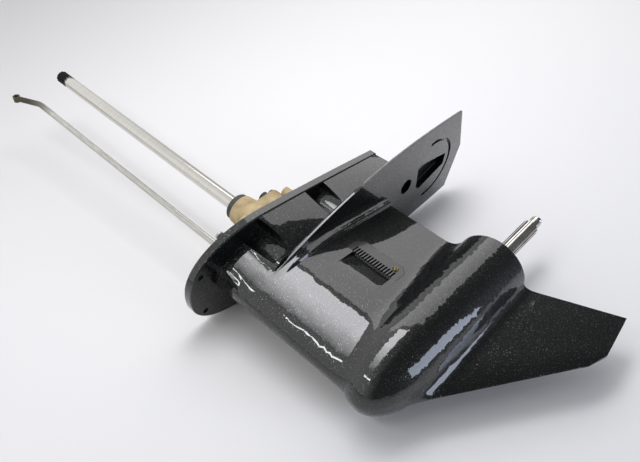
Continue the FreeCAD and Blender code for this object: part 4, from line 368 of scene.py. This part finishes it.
def cross_head_tree(material):
    """A pan head with a cross driven into it, on its stem. Shares are of the head's radius."""
    crown_share, cross_length, cross_width = 0.68, 1.1, 0.24
    sizes = {"Head Radius": 0.004, "Head Height": 0.002, "Stem Radius": 0.002, "Stem Length": 0.01}
    tree, given = new_growth("cross_head_screws", sizes)
    height, wide = given["Head Height"], given["Head Radius"]
    crown = add(tree, "ShaderNodeMath", {0: wide, 1: crown_share}, operation="MULTIPLY").outputs[0]
    head = add(
        tree,
        "GeometryNodeMeshCone",
        {"Vertices": 40, "Radius Top": crown, "Radius Bottom": wide, "Depth": height},
    ).outputs["Mesh"]
    top = add(tree, "ShaderNodeCombineXYZ", {"Z": height}).outputs[0]
    long = add(tree, "ShaderNodeMath", {0: wide, 1: cross_length}, operation="MULTIPLY").outputs[0]
    narrow = add(tree, "ShaderNodeMath", {0: wide, 1: cross_width}, operation="MULTIPLY").outputs[0]
    bars = []
    for first, second in ((long, narrow), (narrow, long)):
        size = add(tree, "ShaderNodeCombineXYZ", {"X": first, "Y": second, "Z": height}).outputs[0]
        bar = add(tree, "GeometryNodeMeshCube", {"Size": size}).outputs["Mesh"]
        bars.append(add(tree, "GeometryNodeTransform", {"Geometry": bar, "Translation": top}).outputs[0])
    driven = add(tree, "GeometryNodeMeshBoolean", {"Mesh 1": head, "Mesh 2": bars[0]}, operation="DIFFERENCE")
    tree.links.new(bars[1], driven.inputs["Mesh 2"])
    length = given["Stem Length"]
    stem = add(
        tree, "GeometryNodeMeshCylinder", {"Vertices": 24, "Radius": given["Stem Radius"], "Depth": length}
    ).outputs["Mesh"]
    down = add(tree, "ShaderNodeMath", {0: length, 1: -0.5}, operation="MULTIPLY").outputs[0]
    below = add(tree, "ShaderNodeCombineXYZ", {"Z": down}).outputs[0]
    stem = add(tree, "GeometryNodeTransform", {"Geometry": stem, "Translation": below}).outputs[0]
    screw = add(tree, "GeometryNodeJoinGeometry", {"Geometry": driven.outputs[0]})
    tree.links.new(stem, screw.inputs[0])
    close_growth(tree, given["Geometry"], screw.outputs[0], material)
    return tree


brass = cut_metal("turned_brass", "6f6142", "94825c", 0.34)
nearly, head_share = 1e-5, 0.85
heads, axes = [], []
for side, outward in (("port", -1), ("starboard", 1)):
    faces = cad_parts[f"intake_screen_{side}"].data.polygons
    axis = sum((f.normal * f.area for f in faces if f.normal.y * outward > 0.8), Vector()).normalized()
    screw = next(solid for solid in islands("intake_screen_screws") if solid[:, 1].mean() * outward > 0)
    depth = screw @ np.array(axis)
    rim, foot = screw[depth > depth.max() - nearly], screw[depth < depth.min() + nearly]
    top = rim.mean(0)
    radius = np.linalg.norm(rim - top, axis=1).max()
    stem_radius = np.linalg.norm(np.cross(foot - top, np.array(axis)), axis=1).max()
    head_height = head_share * stem_radius
    heads.append(Vector(top) - axis * head_height * 0.5)
    axes.append(axis)
screws = grown(
    "intake_screen_screw_set",
    cross_head_tree(brass),
    {
        "Head Radius": float(radius),
        "Head Height": float(head_height),
        "Stem Radius": float(stem_radius),
        "Stem Length": float(4 * stem_radius),
    },
    heads,
    axes,
    "gearcase",
)
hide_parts("intake_screen_screws")

# The plugs on the starboard side: zinc-plated steel with a slot, each on a fibre gasket.
# The drain is low on the torpedo and the level hole high on the leg. The gasket under the pump
# is the same fibre, and the dowels that line the deck up are the same steel.

zinc = cut_metal("zinc_plated_steel", "9a9da0", "c3c6c8", 0.34)
for node in ("drain_plug", "level_plug"):
    dressed(node, node + "_screw", zinc, "gearcase")


def fibre_board():
    """Pressed fibre, brown and dull, with short strands that show on its edge."""
    strand_width = 0.0012
    material, tree, place = new_finish("pressed_gasket_fibre")
    strands = add(
        tree, "ShaderNodeTexNoise", {"Vector": place, "Scale": 1 / strand_width, "Detail": 4.0}
    ).outputs["Fac"]
    colour = tones(tree, strands, ((0.3, "3d2c1c"), (0.7, "6b5238")))
    close_finish(tree, {"Base Color": colour, "Roughness": 0.85})
    return material


fibre = fibre_board()
for node in ("plug_gaskets", "pump_gasket"):
    dressed(node, node + "_sheet", fibre, "gearcase")
dressed("deck_dowels", "deck_dowel_pins", zinc, "gearcase")

# The driveshaft: a long bar of stainless steel, centreless ground, with the top splined
# for the crankshaft and blackened there by grease and heat.


def ground_shaft():
    """Ground stainless steel: bright, faint rings round the bar, black at its splined top."""
    ring_width, ring_stretch, stain_width = 0.04, 40, 0.012
    stain_start, stain_full, soot_start, soot_full = 0.5, 0.545, 0.541, 0.547
    material, tree, place = new_finish("ground_stainless_bar")
    height = add(tree, "ShaderNodeSeparateXYZ", {"Vector": place}).outputs["Z"]
    laid = add(tree, "ShaderNodeMapping", {"Vector": place, "Scale": (1, 1, ring_stretch)}).outputs[0]
    rings = add(
        tree, "ShaderNodeTexNoise", {"Vector": laid, "Scale": 1 / ring_width, "Detail": 3.0}
    ).outputs["Fac"]
    stain = add(
        tree,
        "ShaderNodeTexNoise",
        {"Vector": place, "Scale": 1 / stain_width, "Detail": 3.0, "Roughness": 0.6},
    ).outputs["Fac"]
    reach = add(
        tree, "ShaderNodeMapRange", {0: height, 1: soot_start, 2: soot_full, 3: 0.0, 4: 1.0}
    ).outputs[0]
    near = add(
        tree, "ShaderNodeMapRange", {0: height, 1: stain_start, 2: stain_full, 3: -0.3, 4: 0.2}
    ).outputs[0]
    spots = add(tree, "ShaderNodeMath", {0: stain, 1: near}, operation="ADD").outputs[0]
    spots = add(tree, "ShaderNodeMapRange", {0: spots, 1: 0.64, 2: 0.7, 3: 0.0, 4: 0.85}).outputs[0]
    soot = add(tree, "ShaderNodeMath", {0: reach, 1: spots}, operation="MAXIMUM").outputs[0]
    clean = tones(tree, rings, ((0.3, "cfcdc6"), (0.7, "dddbd5")))
    colour = tones(tree, soot, ((0.0, "ffffff"), (1.0, "2c2b2c")))
    colour = add(tree, "ShaderNodeVectorMath", {0: clean, 1: colour}, operation="MULTIPLY").outputs[0]
    matt = add(tree, "ShaderNodeMapRange", {0: rings, 1: 0.3, 2: 0.7, 3: 0.1, 4: 0.16}).outputs[0]
    rough = add(tree, "ShaderNodeMath", {0: soot, 1: 0.35, 2: matt}, operation="MULTIPLY_ADD").outputs[0]
    close_finish(tree, {"Base Color": colour, "Metallic": 1.0, "Roughness": rough})
    return material


bar_steel = ground_shaft()
dressed("driveshaft", "driveshaft_bar", bar_steel, "driveshaft_line")

# The water pump on the deck: a tan moulded body over a rubber impeller and a steel liner,
# bolted down on a base plate, a steel wear plate and a gasket.


def tan_moulding():
    """Glass-filled moulding, tan and matt, with flow marks and a little brown staining."""
    flow_width, grain_width = 0.022, 0.0016
    material, tree, place = new_finish("tan_glass_filled_moulding")
    flow = add(
        tree,
        "ShaderNodeTexNoise",
        {"Vector": place, "Scale": 1 / flow_width, "Detail": 5.0, "Roughness": 0.6},
    ).outputs["Fac"]
    grain = add(
        tree, "ShaderNodeTexNoise", {"Vector": place, "Scale": 1 / grain_width, "Detail": 2.0}
    ).outputs["Fac"]
    colour = tones(tree, flow, ((0.28, "7d6848"), (0.45, "a39069"), (0.6, "b3a078"), (0.8, "bfae88")))
    matt = add(tree, "ShaderNodeMapRange", {0: flow, 1: 0.3, 2: 0.7, 3: 0.5, 4: 0.62}).outputs[0]
    bump = add(tree, "ShaderNodeBump", {"Height": grain, "Strength": 0.35, "Distance": 0.0003})
    close_finish(tree, {"Base Color": colour, "Roughness": matt, "IOR": 1.5, "Normal": bump.outputs[0]})
    return material


tan = tan_moulding()
dressed("pump_housing", "pump_body", tan, "gearcase")
dressed("pump_base", "pump_foot", tan, "gearcase")
plate_steel = cut_metal("rolled_stainless_sheet", "9d9d9c", "bdbdbb", 0.24, stretch=(14, 1, 1))
for node in ("pump_wear_plate", "pump_liner"):
    dressed(node, node + "_sheet", plate_steel, "gearcase")
dressed("pump_bolts", "pump_bolt_set", zinc, "gearcase")


def moulded_rubber(name, dark, light):
    """Moulded nitrile rubber: dull, a touch dusty, with a soft skin."""
    dust_width, skin_width = 0.009, 0.0012
    material, tree, place = new_finish(name)
    dust = add(
        tree, "ShaderNodeTexNoise", {"Vector": place, "Scale": 1 / dust_width, "Detail": 4.0}
    ).outputs["Fac"]
    skin = add(
        tree, "ShaderNodeTexNoise", {"Vector": place, "Scale": 1 / skin_width, "Detail": 2.0}
    ).outputs["Fac"]
    colour = tones(tree, dust, ((0.3, dark), (0.75, light)))
    bump = add(tree, "ShaderNodeBump", {"Height": skin, "Strength": 0.3, "Distance": 0.0002})
    close_finish(tree, {"Base Color": colour, "Roughness": 0.6, "IOR": 1.52, "Normal": bump.outputs[0]})
    return material


black_rubber = moulded_rubber("black_nitrile_rubber", "141414", "242424")
grey_rubber = moulded_rubber("grey_nitrile_rubber", "2b2b2c", "454546")
for node, body in (
    ("water_tube_grommet", "gearcase"),
    ("pump_impeller", "driveshaft_line"),
    ("driveshaft_seals", "gearcase"),
    ("carrier_o_ring", "gearcase"),
    ("propeller_shaft_seals", "gearcase"),
):
    dressed(node, node + "_rubber", black_rubber, body)
dressed("driveshaft_collar", "driveshaft_collar_ring", grey_rubber, "driveshaft_line")

# The shift rod: drawn steel, bent near the top and flattened there into an eye, with its guide
# on the deck and a bolt that holds the guide down.


def drawn_rod():
    """Drawn steel, bright below, heat-darkened from the bend up and brown at the eye."""
    streak_width, streak_stretch, heat_start, heat_full = 0.02, 10, 0.475, 0.565
    material, tree, place = new_finish("drawn_steel_rod")
    height = add(tree, "ShaderNodeSeparateXYZ", {"Vector": place}).outputs["Z"]
    stretch = (streak_stretch, streak_stretch, 1)
    laid = add(tree, "ShaderNodeMapping", {"Vector": place, "Scale": stretch}).outputs[0]
    streaks = add(
        tree, "ShaderNodeTexNoise", {"Vector": laid, "Scale": 1 / streak_width, "Detail": 4.0}
    ).outputs["Fac"]
    bright = tones(tree, streaks, ((0.3, "bdbbb5"), (0.7, "d4d2cc")))
    heat = add(
        tree, "ShaderNodeMapRange", {0: height, 1: heat_start, 2: heat_full, 3: 0.0, 4: 1.0}
    ).outputs[0]
    tint = tones(tree, heat, ((0.0, "ffffff"), (0.35, "b4b0a6"), (0.7, "6d6a66"), (1.0, "77705f")))
    colour = add(tree, "ShaderNodeVectorMath", {0: bright, 1: tint}, operation="MULTIPLY").outputs[0]
    matt = add(tree, "ShaderNodeMapRange", {0: heat, 1: 0.0, 2: 1.0, 3: 0.14, 4: 0.32}).outputs[0]
    close_finish(tree, {"Base Color": colour, "Metallic": 1.0, "Roughness": matt})
    return material


dressed("shift_rod", "shift_rod_bar", drawn_rod(), "shift_rod_set", 45.0)
nylon = moulded_black("moulded_black_nylon", "131415", "222324", 0.0)
dressed("shift_rod_guide", "shift_rod_guide_block", nylon, "gearcase")
dressed("shift_rod_guide_bolt", "shift_rod_guide_screw", zinc, "gearcase")

# The gear train and clutch inside the torpedo: case-hardened bevel gears, ground where they run.
# They are sealed in, and dressed so that a cutaway or an exploded view shows real metal.

gear_steel = cut_metal("case_hardened_gear_steel", "4d4c4a", "7a7876", 0.36)
race_steel = cut_metal("ground_bearing_steel", "8b8b8d", "b4b4b6", 0.22)
for node, material, slot, body in (
    ("pinion_gear", gear_steel, "gear_steel", "driveshaft_line"),
    ("pinion_nut", gear_steel, "gear_steel", "driveshaft_line"),
    ("impeller_key", race_steel, "bearing_steel", "driveshaft_line"),
    ("pinion_bearing", race_steel, "bearing_steel", "gearcase"),
    ("driveshaft_upper_bearing", race_steel, "bearing_steel", "gearcase"),
    ("forward_gear", gear_steel, "gear_steel", "forward_gear_set"),
    ("forward_needle_bearing", race_steel, "bearing_steel", "forward_gear_set"),
    ("forward_bearing_cone", race_steel, "bearing_steel", "forward_gear_set"),
    ("forward_bearing_cup", race_steel, "bearing_steel", "gearcase"),
    ("reverse_gear", gear_steel, "gear_steel", "reverse_gear_set"),
    ("reverse_bearing_inner_race", race_steel, "bearing_steel", "reverse_gear_set"),
    ("reverse_bearing_outer_race", race_steel, "bearing_steel", "gearcase"),
    ("thrust_washer", race_steel, "bearing_steel", "propeller_shaft_set"),
    ("dog_clutch", gear_steel, "gear_steel", "clutch_set"),
    ("clutch_cross_pin", race_steel, "bearing_steel", "clutch_set"),
    ("clutch_pin_spring", race_steel, "bearing_steel", "clutch_set"),
    ("shift_slider", race_steel, "bearing_steel", "clutch_set"),
    ("cam_follower", gear_steel, "gear_steel", "follower_set"),
    ("cam_pin", race_steel, "bearing_steel", "follower_set"),
    ("shift_cam", gear_steel, "gear_steel", "shift_rod_set"),
    ("carrier_needle_bearing", race_steel, "bearing_steel", "gearcase"),
):
    dressed(node, node + "_steel", material, body)

# The propeller shaft: stainless steel, ground and splined. Its tip is turned down to the root
# of the thread, and the thread for the nut winds round it.

polished_steel = cut_metal("polished_stainless_shaft", "bdbbb7", "dad8d4", 0.15, stretch=(14, 1, 1))
tip_start, tip_radius, thread_depth, thread_pitch = 0.288, 0.009, 0.0009, 0.0015
root_radius, ridge_radius, tip_band = tip_radius - thread_depth, 0.6 * thread_depth, 0.0005
shaft = dressed(
    "propeller_shaft", "propeller_shaft_bar", polished_steel, "propeller_shaft_set"
)
low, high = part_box("propeller_shaft")
axis_z = (low[2] + high[2]) / 2
for vertex in shaft.data.vertices:
    x, y, z = vertex.co
    out = math.hypot(y, z - axis_z)
    if x > tip_start and out > tip_radius - tip_band:
        share = root_radius / out
        vertex.co = (x, y * share, axis_z + (z - axis_z) * share)


def thread_tree(material):
    """A screw thread: one ridge of triangular section, wound along the axis of its seed."""
    sizes = {"Root Radius": 0.008, "Ridge Radius": 0.0005, "Pitch": 0.0015, "Length": 0.015}
    tree, given = new_growth("rolled_thread", sizes)
    turns = add(
        tree, "ShaderNodeMath", {0: given["Length"], 1: given["Pitch"]}, operation="DIVIDE"
    ).outputs[0]
    winding = add(
        tree,
        "GeometryNodeCurveSpiral",
        {
            "Resolution": 40,
            "Rotations": turns,
            "Start Radius": given["Root Radius"],
            "End Radius": given["Root Radius"],
            "Height": given["Length"],
        },
    ).outputs[0]
    ridge = add(
        tree,
        "GeometryNodeCurvePrimitiveCircle",
        {"Resolution": 3, "Radius": given["Ridge Radius"]},
        mode="RADIUS",
    ).outputs[0]
    wound = add(
        tree, "GeometryNodeCurveToMesh", {"Curve": winding, "Profile Curve": ridge, "Fill Caps": True}
    ).outputs[0]
    close_growth(tree, given["Geometry"], wound, material)
    return tree


grown(
    "propeller_shaft_thread",
    thread_tree(polished_steel),
    {
        "Root Radius": root_radius,
        "Ridge Radius": ridge_radius,
        "Pitch": thread_pitch,
        "Length": high[0] - tip_start - 2 * thread_pitch,
    },
    [(tip_start + thread_pitch, 0.0, axis_z)],
    [(1.0, 0.0, 0.0)],
    "propeller_shaft_set",
)

# The bearing carrier and its ring nut: cast aluminium, turned where they seat and left bare.
# The nut screws into the torpedo's back end and holds the carrier in.

bare_aluminium = cut_metal("turned_cast_aluminium", "5d5f61", "84878a", 0.38, stretch=(14, 1, 1))
for node in ("bearing_carrier", "carrier_ring_nut"):
    dressed(node, node + "_casting", bare_aluminium, "gearcase")

# The studio floor: one flat sheet of matt white paper, on which the unit lies on its starboard side.
# It touches the lowest point of the casting and shows from above only.

UP = Vector((0.0588, -1.0, 0.0785)).normalized()
middle, reach, floor_gap = Vector((0.1, 0.0, 0.0)), 14.0, 0.0003
lowest = min(v.co.dot(UP) for v in gearcase.data.vertices)
floor_point = middle + UP * (lowest - floor_gap - middle.dot(UP))
across = UP.cross(Vector((0, 0, 1))).normalized()
along = across.cross(UP)
floor_mesh = bpy.data.meshes.new("studio_floor")
signs = ((-1, -1), (1, -1), (1, 1), (-1, 1))
corners = [floor_point + across * (a * reach) + along * (b * reach) for a, b in signs]
floor_mesh.from_pydata([tuple(c) for c in corners], [], [(0, 1, 2, 3)])
floor = bpy.data.objects.new("studio_floor", floor_mesh)
bpy.context.scene.collection.objects.link(floor)
if floor_mesh.polygons[0].normal.dot(UP) < 0:
    floor_mesh.flip_normals()
floor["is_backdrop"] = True
paper, tree, _ = new_finish("matt_white_paper")
soft = add(tree, "ShaderNodeBsdfDiffuse", {"Color": shade("e3e3e3")})
clear = add(tree, "ShaderNodeBsdfTransparent")
facing = add(tree, "ShaderNodeNewGeometry").outputs["Backfacing"]
both = add(tree, "ShaderNodeMixShader", {0: facing, 1: soft.outputs[0], 2: clear.outputs[0]})
add(tree, "ShaderNodeOutputMaterial", {"Surface": both.outputs[0]})
floor_mesh.materials.append(paper)

# The room beyond the lamps: dim past the skeg, light past the deck and the leading edge, and a
# little dimmer straight above. The camera itself sees plain white there.

world = bpy.data.worlds.new("studio_world")
bpy.context.scene.world = world
world.use_nodes = True
tree = world.node_tree
tree.nodes.clear()
way = add(tree, "ShaderNodeTexCoord").outputs["Generated"]
bright_side = (-0.45, 0.0, 0.9)
lean = add(tree, "ShaderNodeVectorMath", {0: way, 1: bright_side}, operation="DOT_PRODUCT").outputs["Value"]
glow = add(tree, "ShaderNodeMapRange", {0: lean, 1: -0.1, 2: 0.5, 3: 0.14, 4: 1.0}).outputs[0]
overhead = add(tree, "ShaderNodeSeparateXYZ", {"Vector": way}).outputs["Y"]
dim = add(tree, "ShaderNodeMapRange", {0: overhead, 1: -0.9, 2: -0.6, 3: 0.75, 4: 1.0}).outputs[0]
glow = add(tree, "ShaderNodeMath", {0: glow, 1: dim}, operation="MULTIPLY").outputs[0]
rays = add(tree, "ShaderNodeLightPath").outputs
sky = add(tree, "ShaderNodeBackground", {"Color": shade("fdfdfd"), "Strength": glow})
seen = add(tree, "ShaderNodeBackground", {"Color": shade("ffffff"), "Strength": 1.0})
mix = add(tree, "ShaderNodeMixShader", {0: rays["Is Camera Ray"], 1: sky.outputs[0], 2: seen.outputs[0]})
add(tree, "ShaderNodeOutputWorld", {"Surface": mix.outputs[0]})

# The lamps hang 1 m over the unit: a window that the leg's front half mirrors and that fades
# towards the bow, a wide pale panel that its back half mirrors, and a thin tube for the edge.
# A tall window beyond the skeg draws the two bluish bands along the torpedo.

LAMP_HEIGHT = -1.0
FACE_DOWN = Matrix.Rotation(math.radians(90), 4, "X")
FACE_DECK = Matrix.Rotation(math.radians(180), 4, "Y")


def studio_lamp(name, place, face, wide, deep, radiance, tint):
    """A flat lamp that only the unit and the floor see; radiance 1 is white."""
    light = bpy.data.lights.new(name, "AREA")
    light.shape = "RECTANGLE"
    light.size, light.size_y = wide, deep
    light.energy = radiance * math.pi * wide * deep
    light.color = shade(tint)[:3]
    lamp = bpy.data.objects.new(name, light)
    bpy.context.scene.collection.objects.link(lamp)
    lamp.matrix_world = Matrix.Translation(place) @ face
    lamp.visible_camera = False
    return light


window = studio_lamp("window_lamp", (0.0, LAMP_HEIGHT, 0.26), FACE_DOWN, 0.94, 0.42, 8.0, "fbfaff")
window.use_nodes = True
tree = window.node_tree
tree.nodes.clear()
spot = add(tree, "ShaderNodeTexCoord").outputs["UV"]
run = add(tree, "ShaderNodeSeparateXYZ", {"Vector": spot}).outputs["X"]
fade = add(tree, "ShaderNodeMapRange", {0: run, 1: 0.0, 2: 0.7, 3: 0.1, 4: 1.0}).outputs[0]
glass = add(tree, "ShaderNodeEmission", {"Strength": fade})
add(tree, "ShaderNodeOutputLight", {"Surface": glass.outputs[0]})
studio_lamp("pale_panel", (1.5, LAMP_HEIGHT, 0.5), FACE_DOWN, 1.9, 1.3, 1.8, "fbf9fb")
studio_lamp("tube_lamp", (-0.77, LAMP_HEIGHT, 0.12), FACE_DOWN, 0.1, 0.55, 16.0, "fcfcff")
studio_lamp("side_window", (0.9, -0.8, -2.2), FACE_DECK, 1.4, 0.95, 5.0, "dfe8ff")

# The camera stands where the photograph's stood. Its place, its view and its focal length in
# pixels are solved from the photograph, whose picture is 640 pixels wide.

EYE = Vector((-0.4450, -0.6941, -0.4655))
LOOK, TOP = Vector((0.5222, 0.7285, 0.4433)), Vector((0.515, -0.6838, 0.517))
FOCAL_PIXELS, PICTURE_PIXELS = 636.76, 640

camera_data = bpy.data.cameras.new("photo_camera")
camera_data.sensor_width = 36.0
camera_data.lens = FOCAL_PIXELS / PICTURE_PIXELS * camera_data.sensor_width
camera_data.clip_start, camera_data.clip_end = 0.01, 50.0
camera = bpy.data.objects.new("photo_camera", camera_data)
bpy.context.scene.collection.objects.link(camera)
rows = (LOOK.cross(TOP).normalized(), TOP.normalized(), (-LOOK).normalized())
camera.matrix_world = Matrix.Translation(EYE) @ Matrix(rows).transposed().to_4x4()
bpy.context.scene.camera = camera
bpy.context.scene.view_settings.view_transform = "Standard"

low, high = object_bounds()
